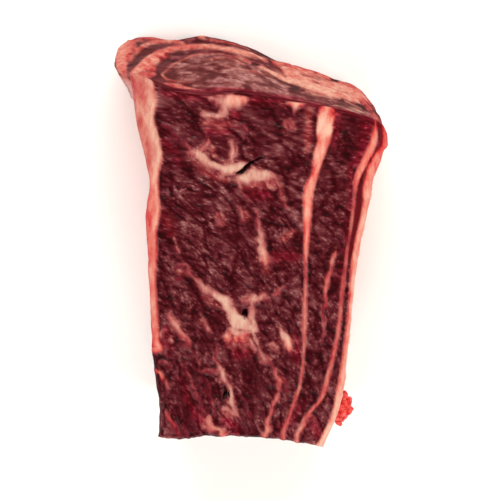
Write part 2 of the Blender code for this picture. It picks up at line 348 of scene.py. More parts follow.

# %% [markdown]
# ## The marbling of the cut face
# These are the veins and flecks of the real block, from its upper end to its lower end. They were
# placed against the photo, a few points each, because a vein that branches or breaks off in the
# right place is what makes this block and not just any beef.

# %% The veins
FACE_FAT = (
    # The upper branching vein, from the upper end down to its broad limb.
    ((-11.6, 45.4, 0.6, 0.40), (-9.6, 44.7, 1.1, 0.32), (-7.4, 44.6, 1.6, 0.30), (-5.2, 44.7, 1.8, 0.28),
     (-3.4, 44.8, 1.0, 0.45)),
    ((-8.6, 43.8, 1.2, 0.35), (-8.5, 42.4, 1.0, 0.38), (-8.8, 41.2, 1.0, 0.38)),
    ((-13.8, 40.9, 0.5, 0.30), (-11.6, 41.0, 0.7, 0.20), (-8.8, 40.8, 0.7, 0.30)),
    ((-8.4, 41.0, 0.3, 0.60), (-6.6, 37.6, 0.2, 0.75)),
    ((-13.0, 35.6, 0.2, 0.70), (-12.8, 34.0, 0.4, 0.55), (-14.2, 31.6, 0.6, 0.40)),
    ((-24.6, 39.0, 0.0, 0.80), (-22.1, 36.6, 0.0, 0.80), (-19.6, 34.2, 0.1, 0.70), (-17.6, 32.3, 0.35, 0.50)),
    ((-17.0, 31.8, 0.5, 0.35), (-15.2, 30.6, 1.1, 0.25), (-13.2, 28.8, 1.1, 0.25), (-10.0, 27.0, 0.95, 0.15),
     (-6.6, 26.7, 1.15, 0.05), (-3.4, 27.6, 0.6, 0.10)),
    ((-3.8, 23.9, 0.8, 0.15), (-1.8, 24.5, 1.4, 0.10), (0.8, 25.0, 1.4, 0.25), (3.4, 24.4, 1.2, 0.25),
     (4.8, 24.2, 0.7, 0.25)),
    ((-4.7, 24.0, 0.4, 0.20), (-4.3, 21.8, 0.3, 0.40)),
    ((-6.6, 33.8, 0.2, 0.30), (-6.4, 31.0, 0.35, 0.25), (-6.2, 28.4, 0.5, 0.20)),
    ((-5.6, 33.4, 0.15, 0.60), (-5.4, 30.0, 0.3, 0.50)),
    ((-5.6, 37.8, 0.2, 0.60), (-4.0, 38.4, 0.3, 0.60), (-2.6, 37.0, 0.2, 0.65)),
    ((5.3, 24.6, 0.3, 0.40), (6.2, 20.8, 0.25, 0.60), (7.8, 16.6, 0.15, 0.70)),
    # The flared top of the fat seam.
    ((16.4, 42.4, 0.3, 0.60), (17.0, 41.6, 0.5, 0.55), (17.4, 40.0, 0.2, 0.55)),
    ((20.4, 41.9, 0.5, 0.65), (21.0, 40.6, 0.4, 0.70), (20.8, 38.8, 0.1, 0.75)),
    # The small wedge at the upper end, and the soft spots under it.
    ((8.6, 44.7, 0.5, 0.35), (10.6, 44.3, 0.9, 0.30), (12.6, 44.3, 0.4, 0.45)),
    ((10.5, 43.8, 0.8, 0.35), (10.2, 42.2, 0.4, 0.50), (10.1, 40.6, 0.1, 0.70)),
    ((8.4, 38.8, 0.4, 0.55), (9.3, 37.4, 0.4, 0.65)),
    # The slim drop in the middle, and soft flecks beside it.
    ((-0.4, 15.6, 0.15, 0.50), (0.5, 11.8, 0.3, 0.45), (1.2, 8.0, 0.5, 0.35), (1.8, 4.6, 0.8, 0.30),
     (2.2, 2.6, 1.0, 0.35), (2.6, 1.0, 0.6, 0.60)),
    ((0.9, 6.0, 0.2, 0.05), (1.1, 2.0, 0.25, 0.15)),
    ((-10.2, 14.4, 0.2, 0.55), (-9.4, 11.6, 0.3, 0.60)),
    ((-4.4, 15.8, 0.3, 0.45), (-2.8, 12.6, 0.3, 0.55)),
    ((-21.8, 8.4, 0.15, 0.45), (-20.4, 4.4, 0.15, 0.50)),
    # The lower star: its left arm, broad middle, the rim round its hole and its right arm.
    ((-21.3, -0.2, 0.1, 0.75), (-19.4, 0.7, 0.15, 0.65), (-18.2, 0.4, 0.2, 0.60), (-17.2, -1.8, 0.3, 0.50),
     (-15.2, -4.2, 0.4, 0.35), (-13.2, -6.2, 0.5, 0.30), (-10.8, -7.8, 0.65, 0.20), (-8.6, -8.6, 0.9, 0.10)),
    ((-21.3, -0.4, 0.1, 0.75), (-20.8, -2.6, 0.1, 0.75), (-19.4, -3.4, 0.05, 0.80)),
    ((-8.2, -8.8, 0.9, 0.10), (-7.0, -11.4, 0.8, 0.10), (-5.8, -13.8, 1.3, 0.10), (-4.8, -15.0, 1.9, 0.05),
     (-2.6, -15.8, 1.5, 0.15)),
    ((-6.6, -17.2, 0.8, 0.30), (-4.2, -17.8, 1.1, 0.38), (-2.2, -17.4, 0.8, 0.38)),
    ((-7.2, -18.2, 0.5, 0.40), (-6.9, -20.6, 0.0, 0.65)),
    ((-5.6, -18.8, 0.6, 0.45), (-5.4, -21.6, 0.0, 0.70)),
    ((-3.8, -18.8, 0.6, 0.45), (-3.2, -21.4, 0.0, 0.70)),
    ((-1.3, -9.4, 0.6, 0.35), (-1.2, -12.5, 0.55, 0.30), (-0.9, -16.2, 0.7, 0.25), (-0.4, -18.6, 0.5, 0.35)),
    ((-3.2, -9.0, 0.4, 0.35), (-1.2, -8.5, 0.8, 0.25), (0.6, -8.5, 0.8, 0.35), (2.0, -7.4, 0.7, 0.45),
     (2.6, -8.6, 0.3, 0.60)),
    ((4.6, -7.4, 0.4, 0.65), (6.0, -6.2, 0.5, 0.55), (7.4, -5.0, 0.3, 0.60)),
    ((-7.8, -18.4, 0.7, 0.35), (-7.0, -20.0, 0.3, 0.60)),
    # The long tail of the star, down to the lower end.
    ((-0.3, -18.4, 0.5, 0.30), (0.3, -20.6, 0.35, 0.35), (0.9, -22.8, 0.35, 0.40), (2.4, -24.9, 0.6, 0.20),
     (4.0, -26.6, 0.15, 0.70), (5.2, -29.0, 0.35, 0.42), (6.2, -31.6, 0.35, 0.50), (5.8, -34.2, 0.4, 0.52),
     (4.4, -37.8, 0.4, 0.52), (3.5, -41.0, 0.4, 0.52), (3.0, -44.0, 0.45, 0.45), (2.4, -45.8, 0.5, 0.42)),
    # A short cream line: a painted highlight, white glints of the moist cut drawn as fat.
    ((-1.6, -20.2, 0.15, 0.20), (-0.4, -22.2, 0.25, 0.15)),
    ((5.4, -28.6, 0.1, 0.70), (7.2, -30.4, 0.15, 0.75), (8.2, -33.0, 0.05, 0.85)),
    ((6.8, -17.4, 0.5, 0.30), (7.6, -19.0, 1.1, 0.12), (8.3, -20.8, 1.0, 0.35), (8.9, -22.6, 0.5, 0.60)),
    # A tiny cream spot: a painted highlight, a wet glint drawn as fat.
    ((4.6, -20.8, 0.05, 0.15), (5.1, -21.6, 0.15, 0.15)),
    # Thin veins that run with the fibres at the lower left.
    ((-23.2, -12.6, 0.2, 0.45), (-22.0, -14.4, 0.4, 0.30), (-20.6, -16.8, 0.55, 0.30),
     (-18.8, -19.0, 0.5, 0.45), (-17.4, -21.8, 0.2, 0.70), (-16.0, -25.0, 0.1, 0.72),
     (-14.8, -28.4, 0.1, 0.70), (-12.6, -33.0, 0.1, 0.75), (-11.5, -37.6, 0.1, 0.75),
     (-10.8, -41.0, 0.0, 0.85)),
    ((-20.0, -20.8, 0.0, 0.75), (-18.5, -24.0, 0.0, 0.80)),
    ((-19.7, -26.6, 0.0, 0.70), (-17.0, -32.0, 0.15, 0.65), (-15.0, -37.0, 0.2, 0.65),
     (-13.6, -40.2, 0.0, 0.75)),
    ((-14.6, -28.6, 0.1, 0.65), (-12.6, -28.1, 0.2, 0.65), (-10.4, -28.2, 0.2, 0.60)),
    ((-10.6, -21.4, 0.2, 0.70), (-10.8, -24.4, 0.3, 0.60), (-10.0, -27.0, 0.4, 0.40),
     (-8.8, -29.4, 0.6, 0.20), (-7.4, -31.6, 0.4, 0.30), (-6.9, -34.0, 0.35, 0.10), (-6.5, -36.6, 0.4, 0.05),
     (-6.1, -38.8, 0.4, 0.30), (-5.6, -40.4, 0.2, 0.50)),
    ((-9.2, -38.9, 0.4, 0.60), (-7.4, -38.6, 0.6, 0.50), (-6.4, -39.6, 0.5, 0.50)),
    ((-12.8, -41.2, 0.4, 0.30), (-12.6, -43.0, 0.5, 0.25), (-11.0, -44.0, 0.5, 0.25),
     (-9.5, -44.6, 0.5, 0.30), (-8.8, -46.4, 0.6, 0.50), (-7.6, -45.2, 0.4, 0.60)),
    ((-3.6, -35.8, 0.15, 0.60), (-2.6, -37.6, 0.2, 0.65), (-2.0, -40.0, 0.1, 0.70)),
    ((-22.9, -19.2, 0.15, 0.30), (-22.4, -20.0, 0.2, 0.30)),
    ((-14.4, -14.4, 0.15, 0.35), (-12.8, -16.8, 0.15, 0.40)),
    # Where the bone side's fat ends: its lump and two torn tags, and a streak along the edge.
    ((-27.4, -19.4, 1.2, 0.45), (-26.6, -21.8, 1.2, 0.40)),
    ((-25.0, -17.4, 0.5, 0.60), (-24.4, -20.6, 0.4, 0.75), (-23.9, -23.6, 0.3, 0.85)),
    ((-26.8, -28.3, 0.5, 0.50), (-25.5, -28.8, 0.6, 0.40), (-25.1, -30.2, 0.4, 0.55)),
    ((-25.6, -25.6, 0.2, 0.55), (-24.2, -25.8, 0.25, 0.55), (-23.4, -27.2, 0.15, 0.60)),
    ((-23.9, -31.0, 0.35, 0.50), (-23.2, -33.0, 0.4, 0.45)),
    ((-24.1, -39.5, 0.3, 0.55), (-22.8, -41.8, 0.5, 0.60), (-20.6, -45.4, 0.4, 0.75)),
    ((-19.6, -42.2, 0.2, 0.90), (-18.2, -46.6, 0.3, 0.90)),
    # A faint line in the outer muscle, and the pale end of the fat line.
    ((20.5, 4.2, 0.3, 0.45), (20.6, 2.6, 0.35, 0.40), (19.6, -1.4, 0.3, 0.50), (18.4, -5.0, 0.35, 0.50),
     (18.2, -9.0, 0.3, 0.52), (17.8, -14.2, 0.25, 0.58), (17.4, -20.0, 0.1, 0.70)),
    ((11.6, -44.8, 0.5, 0.45), (12.6, -42.0, 0.5, 0.50), (14.4, -40.4, 0.3, 0.55)),
)
print("veins and flecks:", len(FACE_FAT))

# %% [markdown]
# ## Red, blushing, salmon and shaded places
# Lean meat is not one colour either. Blood keeps it bright red along the edges and under the fat, thin
# fat just below the surface makes it blush, some veins are salmon instead of cream, and whole bundles
# are darker (-1) or lighter (1). These zones are chains too, with soft wide edges. The last number of a
# salmon or shaded chain says how strong it is. The cracks are the dark splits in the upper vein, in the
# star and at the lower left.

# %% The zones and the cracks
FACE_BLUSH = (
    ((-13.0, 38.9, 0.9), (-9.6, 38.7, 1.1), (-7.0, 38.8, 0.6)),
    ((-15.8, 28.6, 0.6), (-12.5, 25.3, 1.0), (-8.0, 24.0, 0.8)),
    ((-3.6, 22.6, 1.2), (0.0, 22.6, 1.4), (4.0, 22.8, 1.2)),
    ((-11.6, 32.2, 0.6), (-11.0, 30.6, 0.6)),
    ((8.8, 38.4, 1.2), (8.9, 37.8, 1.2)),
    ((13.8, 42.0, 0.8), (13.8, 37.0, 0.9), (13.2, 31.0, 0.5)),
    ((5.4, 23.5, 0.3), (6.6, 20.0, 0.4), (7.8, 16.4, 0.3)),
    ((-14.0, -7.6, 0.4), (-9.6, -10.8, 0.6)),
    ((-6.4, -20.2, 1.6), (-2.8, -20.4, 1.6)),
    ((2.6, 1.4, 0.9), (2.6, -0.6, 0.8)),
    ((-3.2, 14.4, 1.0), (-2.8, 13.4, 0.9)),
    ((-9.8, 13.4, 0.9), (-9.4, 12.4, 0.8)),
    ((5.6, -6.8, 0.9), (6.6, -6.0, 0.7)),
    ((-20.0, -1.2, 0.6), (-19.6, -1.6, 0.6)),
    ((8.6, -19.6, 1.0), (9.2, -22.0, 0.8)),
    ((-19.4, -18.8, 0.6), (-17.8, -21.4, 0.2)),
    ((-14.0, -28.4, 0.1), (-10.4, -28.2, 0.3)),
    ((-8.2, -39.4, 0.7), (-6.4, -40.2, 0.5)),
    ((-23.0, 13.0, 0.6), (-22.8, 11.6, 0.5)),
    ((7.0, 7.4, 0.8), (9.4, 9.6, 0.5)),
    # Along the lower edge a thin lighter line: its frayed fringe, together with a painted highlight on the
    # rounded edge.
    ((-26.0, -46.9, 0.1), (-13.0, -47.3, 0.1), (2.0, -47.9, 0.1), (16.0, -49.0, 0.1)),
)
FACE_RED = (
    ((14.6, 44.2, 0.8), (20.0, 43.2, 1.0), (27.0, 41.6, 0.9), (31.0, 39.4, 1.6)),
    ((28.8, 38.0, 1.6), (28.0, 32.0, 1.3), (25.2, 27.0, 0.8), (25.4, 20.0, 0.6), (24.0, 10.0, 0.4),
     (22.0, -4.0, 0.3)),
    ((21.4, 40.6, 1.0), (20.4, 33.0, 0.4)),
    ((-24.0, 47.0, 0.6), (-14.0, 45.8, 0.8), (-3.0, 45.4, 1.2), (4.0, 44.8, 0.8), (12.0, 43.4, 0.6)),
    ((-7.0, 44.0, 1.4), (-5.6, 41.0, 1.2)),
    ((-12.0, 37.2, 1.2), (-7.6, 37.2, 1.2)),
    ((-24.0, 34.0, 0.8), (-20.6, 29.0, 0.6)),
    ((5.0, 3.0, 1.2), (10.0, 2.8, 1.2)),
    ((-2.0, 19.8, 1.2), (3.0, 19.8, 1.2)),
    ((-24.4, 14.5, 0.8), (-23.0, 10.0, 1.2)),
    ((-24.0, -17.0, 0.6), (-23.0, -24.0, 0.8)),
    ((-5.0, -23.2, 1.4), (-2.0, -22.6, 1.2)),
    ((-20.0, -30.0, 0.2), (-17.0, -39.0, 1.0), (-13.0, -43.0, 1.2)),
    ((10.4, -19.5, 0.8), (11.2, -25.0, 0.9)),
    ((-8.0, -41.6, 1.2), (-5.6, -44.6, 1.4)),
    ((12.4, -37.0, 0.6), (9.6, -41.0, 0.8), (7.0, -44.8, 1.0)),
    ((15.0, -42.0, 1.0), (16.6, -46.0, 0.7)),
    ((32.2, 38.4, 1.0), (33.2, 35.4, 1.0), (32.0, 31.6, 0.8), (30.0, 27.6, 0.8)),
)
FACE_SALMON = (
    ((-6.6, 45.2, 1.2, 0.9), (-4.0, 45.2, 1.2, 0.9)),
    ((9.6, 44.6, 1.0, 0.9), (11.4, 44.4, 1.0, 0.9)),
    ((-7.4, -19.2, 1.2, 0.6), (-2.0, -19.2, 1.2, 0.6)),
    ((8.2, -20.4, 0.6, 0.9), (8.8, -21.8, 0.5, 0.9)),
    ((-27.4, -19.0, 1.6, 0.9), (-26.4, -22.2, 1.6, 0.9)),
    ((-26.8, -28.3, 1.0, 0.8), (-25.1, -30.2, 0.8, 0.8)),
    ((-12.8, -41.2, 0.8, 0.4), (-11.0, -44.0, 1.2, 0.4), (-8.8, -46.4, 1.2, 0.6)),
    ((-24.1, -39.5, 0.6, 0.4), (-22.8, -41.8, 0.8, 0.4), (-20.6, -45.4, 0.8, 0.4)),
    ((4.8, -28.4, 0.5, 0.3), (6.3, -31.6, 0.7, 0.3), (4.4, -37.8, 0.6, 0.3), (2.4, -45.8, 0.9, 0.5)),
    ((-22.0, -13.4, 0.6, 0.3), (-18.0, -21.0, 0.6, 0.3)),
    ((1.4, 6.0, 0.6, 0.3), (2.4, 2.0, 0.8, 0.5)),
    ((17.6, 43.4, 1.8, 0.9), (20.8, 42.6, 1.8, 0.9)),
    ((18.8, 41.6, 1.6, 0.7), (18.4, 39.0, 1.2, 0.3)),
    ((20.5, 4.2, 0.6, 0.5), (18.4, -5.0, 0.6, 0.5), (17.8, -14.2, 0.5, 0.5)),
    ((11.6, -44.8, 0.9, 0.4), (14.4, -40.4, 0.7, 0.4)),
)
FACE_SHADE = (
    ((-23.0, 44.6, 1.8, -0.4), (-12.6, 44.0, 1.4, -0.4)),
    ((-23.4, 41.0, 1.6, -0.4), (-17.0, 41.0, 1.6, -0.4)),
    ((-18.0, 37.0, 1.8, -0.6), (-15.6, 34.2, 1.8, -0.6)),
    ((-23.0, 36.0, 1.4, -0.4), (-20.6, 29.4, 2.0, -0.5)),
    ((-9.0, 34.6, 0.8, -0.9), (-8.2, 30.4, 0.9, -0.9)),
    ((-2.0, 44.6, 1.0, -0.7), (1.4, 39.6, 1.4, -0.7), (1.0, 31.0, 1.2, -0.9), (2.8, 29.2, 0.6, -1.0)),
    ((8.6, 33.6, 1.0, -0.5), (6.4, 26.6, 1.0, -0.5)),
    ((2.2, 28.2, 0.5, 1.0), (3.0, 27.8, 0.4, 1.0)),
    ((3.4, 42.4, 1.6, -0.7), (8.0, 41.0, 1.4, -0.7)),
    ((-19.8, 20.6, 1.6, 0.6), (-12.0, 22.2, 1.4, 0.6), (-8.0, 13.0, 1.6, 0.3), (-18.4, 11.6, 1.4, 0.6)),
    ((-8.4, 8.6, 0.9, -1.0), (-3.0, 7.6, 1.1, -1.0)),
    ((-14.6, 3.6, 1.8, 0.5), (-9.0, 1.2, 1.8, 0.5), (-3.6, -1.6, 1.4, 0.4)),
    ((3.4, 3.6, 0.7, -1.0), (11.0, 2.8, 0.8, -1.0)),
    ((7.0, 8.0, 1.2, 0.6), (8.4, 14.0, 1.4, 0.3)),
    ((-20.2, -6.4, 1.6, 1.0), (-18.4, -10.4, 1.4, 1.0)),
    ((-8.6, -12.8, 1.0, -0.7), (-10.6, -16.0, 1.4, -0.5)),
    ((-5.4, -10.2, 0.8, -0.9), (-4.8, -11.0, 0.6, -0.9)),
    ((4.4, -13.8, 1.2, 0.3), (6.6, -11.2, 1.0, 0.5)),
    ((-3.6, -25.6, 1.6, -0.8), (0.6, -31.0, 1.6, -0.9), (0.4, -38.0, 1.2, -0.8)),
    ((2.2, -28.4, 0.4, 1.0), (2.6, -28.4, 0.4, 1.0)),
    ((-20.6, -34.0, 1.4, -0.9), (-17.2, -43.0, 1.6, -0.9)),
    ((-17.4, -28.0, 1.2, -0.7), (-15.2, -35.0, 1.2, -0.7)),
    ((-4.6, -43.0, 1.0, -0.8), (0.2, -44.0, 1.0, -0.8)),
    ((23.6, 38.6, 1.4, -0.9), (27.4, 36.4, 1.4, -0.9)),
    ((18.4, 30.0, 1.0, -0.7), (17.0, 20.0, 0.8, -0.5), (16.0, 8.0, 0.6, -0.4)),
)
FACE_CRACKS = (
    ((-5.2, 25.3, 0.45), (-3.9, 25.9, 0.80), (-2.2, 27.2, 0.50), (-0.9, 28.6, 0.25), (0.8, 29.2, 0.15),
     (2.2, 29.0, -0.10)),
    ((-2.7, -11.5, 0.30), (-2.7, -12.8, 0.75), (-3.0, -13.9, 0.35)),
    ((-8.6, -32.6, 0.10), (-8.4, -34.4, 0.35), (-8.6, -36.2, 0.15)),
    ((-7.6, -33.6, 0.05), (-7.5, -35.0, 0.15)),
)
print("zones:", len(FACE_BLUSH + FACE_RED + FACE_SALMON + FACE_SHADE), "cracks:", len(FACE_CRACKS))

# %% [markdown]
# ## Where the layers' fat shows
# The boundary between two layers is a smooth line, but the edge of the fat that shows in the cut is
# not. The mesh could follow every bay of it, but a painted edge does it with no change to the solids:
# an inset moves the edge that the colour shows, up to two millimetres from the edge of the layer.

# %% The painted edges
BONE_FAT_INSET = ((-23, 1.9), (-17, 1.2), (-10, 0.8), (-2, 0.8), (5, 0.3), (10, 0.6), (15, -0.2), (20, 0.2),
                  (25, 0.4), (30, 0.0), (35, 0.7), (40, 1.2), (45, 0.1))
SEAM_LEFT_INSET = ((-38, 0.4), (-20, 0.35), (-8, 0.1), (-2, 0.4), (4, 0.3), (10, 0.5), (19, 0.5), (22, 0.6),
                   (25, 1.7), (31, 1.5), (34, 1.8), (37, 1.0), (42, 0.6))
SEAM_RIGHT_INSET = ((-38, 0.45), (-8, 0.35), (-2, 0.4), (4, 0.3), (16, 0.2), (31, 0.4), (37, 1.0), (40, 1.2),
                    (44, 2.0))
FAT_LINE_SHIFT = ((17, 0.0), (23, -0.5), (28, -0.3), (33, 0.0), (39, 0.2))
FAT_LINE_INSET = ((-46, 0.0), (-36, -0.05), (-20, 0.0), (2, 0.2), (12, 0.15), (20, 0.1), (23, -0.1),
                  (27, -0.45), (33, -0.45), (38, 0.1))
OUTER_FAT_INSET = ((-49, 1.2), (-40, 0.9), (-34, 0.3), (-20, 0.2), (-10, 0.3), (0, -0.1), (8, -0.3),
                   (15, -0.3), (22, -0.9), (27, -0.9), (33, -0.6), (38, -0.4))


def painted_edges(along, depth):
    """Where the thin line's two edges and the outer fat's inner edge show in the cut."""
    shift, inset = curve(FAT_LINE_SHIFT, along), curve(FAT_LINE_INSET, along)
    return (fat_line_inside(along, depth) + shift + inset, fat_line_outside(along, depth) + shift - inset,
            outer_fat_inside(along, depth) + curve(OUTER_FAT_INSET, along))


line_left, line_right, outer_left = painted_edges(0.0, 0.0)
print("the thin line shows this wide in the middle, mm:", round(float(line_right - line_left), 2))

# %% [markdown]
# ## The tone of each layer
# Each layer's fat changes tone along the block, from cream to deep red, and reddens towards one side.
# One flat tone would look like plastic. So each has a line of tones that is read at the point's place
# along the block. Down the sides that place wanders, so that the bands of tone run in bays there.

# %% The fat that stands as layers
SIDE_STARTS = 8.0
TONE_WANDERS = 14.0
TONE_BENDS = 33.0
TONE_BANDS = 0.3
LAYER_RIM = 0.3
LAYER_RIM_WIDTH = 0.8

BONE_FAT_STOPS = -23.0
END_SLOPE = 0.7
END_WANDERS = 5.0
END_BENDS = 21.0
# The bone side's fat is set to deeper, redder tones than its own colour alone: painted shade along this side.
BONE_FAT_TONE_AND_SHADE = ((-23, 0.6), (-15, 0.35), (-5, 0.42), (0, 0.32), (5, 0.4), (10, 0.36), (15, 0.25), (20, 0.32),
                 (26, 0.2), (31, 0.12), (44, 0.14), (50, 0.25))
BONE_FAT_REDDENS = 0.40
BONE_FAT_RED_BAND = (0.5, 3.2)
BONE_FAT_SALMON = (0.8, 0.4)
BONE_FAT_PALES = (22, 8)

SEAM_TONE = ((-46, 0.5), (-38, 0.45), (-30, 0.4), (-20, 0.32), (-8, 0.40), (-2, 0.50), (4, 0.32), (10, 0.45),
             (15, 0.35), (19, 0.25), (23, 0.3), (28, 0.35), (31, 0.2), (34, 0.3), (37, 0.1), (40, 0.2),
             (43, 0.55), (45, 0.7))
SEAM_REDDENS = 0.3
SEAM_RED_BAND = (1.8, 1.8)
SEAM_RED_PART = (37, 4)
SEAM_SALMON = (0.45, 1)
SEAM_SALMON_PART = (-2, 10)

LINE_TONE = ((-46, 0.38), (-38, 0.42), (-30, 0.44), (-10, 0.42), (0, 0.5), (5, 0.6), (10, 0.52), (15, 0.48),
             (20, 0.55), (23, 0.32), (26, 0.35), (29, 0.5), (32, 0.28), (36, 0.4), (39, 0.75))
LINE_SALMON = (0.5, 1)
LINE_SALMON_PART = (20, 6)

OUTER_TONE = ((-49, 0.02), (-43, 0.05), (-34, 0.20), (0, 0.28), (22, 0.36), (28, 0.50), (38, 0.75))
OUTER_REDDENS = (0.1, 0.3)
OUTER_RED_PART = (10, 10)
OUTER_RED_BAND = 1.3


def layer_fat(across, along, depth):
    """The fat that stands as layers: how deep a place is in it, its tone, and how salmon it is."""
    below_face = fade(depth, 0, SIDE_STARTS)
    at = along + TONE_WANDERS * below_face * swell(depth, TONE_BANDS * along, TONE_BENDS)

    from_inside = bone_fat_inside(along, depth) - curve(BONE_FAT_INSET, along) - across
    from_end = (END_SLOPE * (along - BONE_FAT_STOPS)
                - END_WANDERS * below_face * swell(depth, along, END_BENDS))
    bone_fat = np.minimum(from_inside, from_end)
    bone_tone_and_shade = curve(BONE_FAT_TONE_AND_SHADE, at) + BONE_FAT_REDDENS * fade(from_inside, *BONE_FAT_RED_BAND)
    bone_salmon = mix(*BONE_FAT_SALMON, fade(at, *BONE_FAT_PALES))

    seam_left = seam_inside(along, depth) + curve(SEAM_LEFT_INSET, along)
    seam_right = seam_outside(along, depth) - curve(SEAM_RIGHT_INSET, along)
    seam = np.minimum(across - seam_left, seam_right - across)
    seam_tone = (curve(SEAM_TONE, along)
                 + SEAM_REDDENS * fade(across - seam_left, *SEAM_RED_BAND) * fade(along, *SEAM_RED_PART))
    seam_salmon = mix(*SEAM_SALMON, fade(along, *SEAM_SALMON_PART))

    line_left, line_right, outer_left = painted_edges(along, depth)
    line = np.minimum(across - line_left, line_right - across)
    line_salmon = mix(*LINE_SALMON, fade(along, *LINE_SALMON_PART))

    outer = across - outer_left
    outer_red = mix(*OUTER_REDDENS, fade(along, *OUTER_RED_PART)) * (1 - fade(outer, 0, OUTER_RED_BAND))

    inside, tone, salmon = join_fields(
        (bone_fat, bone_tone_and_shade, bone_salmon), (seam, seam_tone, seam_salmon),
        (line, curve(LINE_TONE, along), line_salmon),
        (outer, curve(OUTER_TONE, at) + outer_red, 1 + 0 * outer))
    return inside, tone + LAYER_RIM * (1 - fade(inside, 0, LAYER_RIM_WIDTH)), salmon


print("tones along the seam, mm and tone:", SEAM_TONE[0], "to", SEAM_TONE[-1])

# %% [markdown]
# ## Everything that the cut face shows
# Now the layers' fat and the veins are joined, and the zones are read. The veins wobble a little, swell
# and thin out, and are softer and pinker on their lower side, where the fat thins over lean meat. With
# the depth the whole drawing wanders, so that the lower cut face is like the upper one and not a copy.
# A groove opens between the thin line and the outer fat at the upper right.

# %% The fields of the cut face
MARBLING_WANDERS = 3.5
MARBLING_BENDS = 34.0
MARBLING_PHASE = 20.0
MARBLING_DRIFT = (2, -3)
VEIN_WOBBLE = 0.45
VEIN_BENDS = 4.6
VEIN_PHASE = 9.0
VEIN_SWELLS = 0.3
VEIN_SWELL_LENGTH = 0.6 * VEIN_BENDS
VEIN_SWELL_PHASE = 5.0
VEIN_SPREAD = 0.15
VEIN_RIM = 0.25
VEIN_RIM_WIDTH = 0.9
SOFT_BELOW = 1.2
PINK_BELOW = 0.22
FAT_EDGE = 1.0
RED_EDGE = 3.0
BLUSH_EDGE = 2.2
SALMON_EDGE = 1.6
SHADE_EDGE = 3.0
CRACK_CLOSES = 3.0
GROOVE_LIMIT = 0.35
GROOVE_EDGE = 0.5
GROOVE_SPREAD = 0.3
GROOVE_CLOSES = 1.2
GROOVE_CLOSING_PART = (4.0, -10)
GROOVE_NARROWS = 0.25
GROOVE_NARROW_PART = (27, 4)


def groove_field(across, along, depth):
    """How far a place is in the groove between the thin line and the outer fat, from 0 to 1."""
    _, line_right, outer_left = painted_edges(along, depth)
    groove = np.minimum(np.minimum(across - line_right, outer_left - across), GROOVE_LIMIT)
    groove = groove - GROOVE_CLOSES * fade(along, *GROOVE_CLOSING_PART)
    groove = groove - GROOVE_NARROWS * fade(along, *GROOVE_NARROW_PART)
    return soft_step(groove / GROOVE_EDGE + GROOVE_SPREAD)


def vein_field(across, along, a, b):
    """How deep a place is in a vein, and the vein's tone there."""
    veins, below, tone = chain_field(FACE_FAT, a, b)
    below = np.clip(below, 0, 1)
    veins = veins / (1 + SOFT_BELOW * below * (veins < 0)) + VEIN_SPREAD
    veins = veins + VEIN_SWELLS * swell(across + VEIN_SWELL_PHASE, along, VEIN_SWELL_LENGTH)
    return veins, tone + PINK_BELOW * below + VEIN_RIM * (1 - fade(veins, 0, VEIN_RIM_WIDTH))


def face_fields(across, along, depth):
    """What the cut face shows at a point, wandering a little with the depth under it."""
    share = depth / THICKNESS
    a = across + VEIN_WOBBLE * swell(along, across, VEIN_BENDS) + share * (
        MARBLING_WANDERS * swell(along + MARBLING_PHASE, depth, MARBLING_BENDS) + MARBLING_DRIFT[0])
    b = along + VEIN_WOBBLE * swell(across, along + VEIN_PHASE, VEIN_BENDS) + share * (
        MARBLING_WANDERS * swell(across, depth, MARBLING_BENDS) + MARBLING_DRIFT[1])
    layers, layer_tone, salmon = layer_fat(across, along, depth)
    veins, vein_tone = vein_field(across, along, a, b)
    fat, tone = join_fields((layers, layer_tone), (veins, vein_tone))
    shade, _, sign = chain_field(FACE_SHADE, a, b)
    warm, _, warmth = chain_field(FACE_SALMON, a, b)
    return {"fat": fat, "tone": tone,
            "salmon": np.maximum(soft_edge(layers - veins, FAT_EDGE) * salmon,
                                 warmth * soft_edge(warm, SALMON_EDGE)),
            "red": soft_edge(chain_field(FACE_RED, a, b)[0], RED_EDGE),
            "blush": soft_edge(chain_field(FACE_BLUSH, a, b)[0], BLUSH_EDGE),
            "shade": sign * soft_edge(shade, SHADE_EDGE),
            "crack": chain_field(FACE_CRACKS, a, b)[0] - CRACK_CLOSES * share,
            "groove": groove_field(across, along, depth)}


middle_of_star = face_fields(np.array([-4.0]), np.array([-15.0]), np.array([0.0]))
print("the star's middle is this deep in fat, mm:", round(float(middle_of_star["fat"][0]), 2))

# %% [markdown]
# ## The end wall
# At the upper end the knife cut across the layers and the surface has dried a little. Thin sheets of
# muscle and fat lie over each other in arcs round a lens of grey brown meat. The photo looks down at a
# steep angle, so a place on this wall is given by how far across it is and how far along it seems to be
# from there: a point deeper down the wall shows further along. WALL_FAT has the fat in the same form as
# the veins, and WALL_LEAN cuts dark stripes out of it.

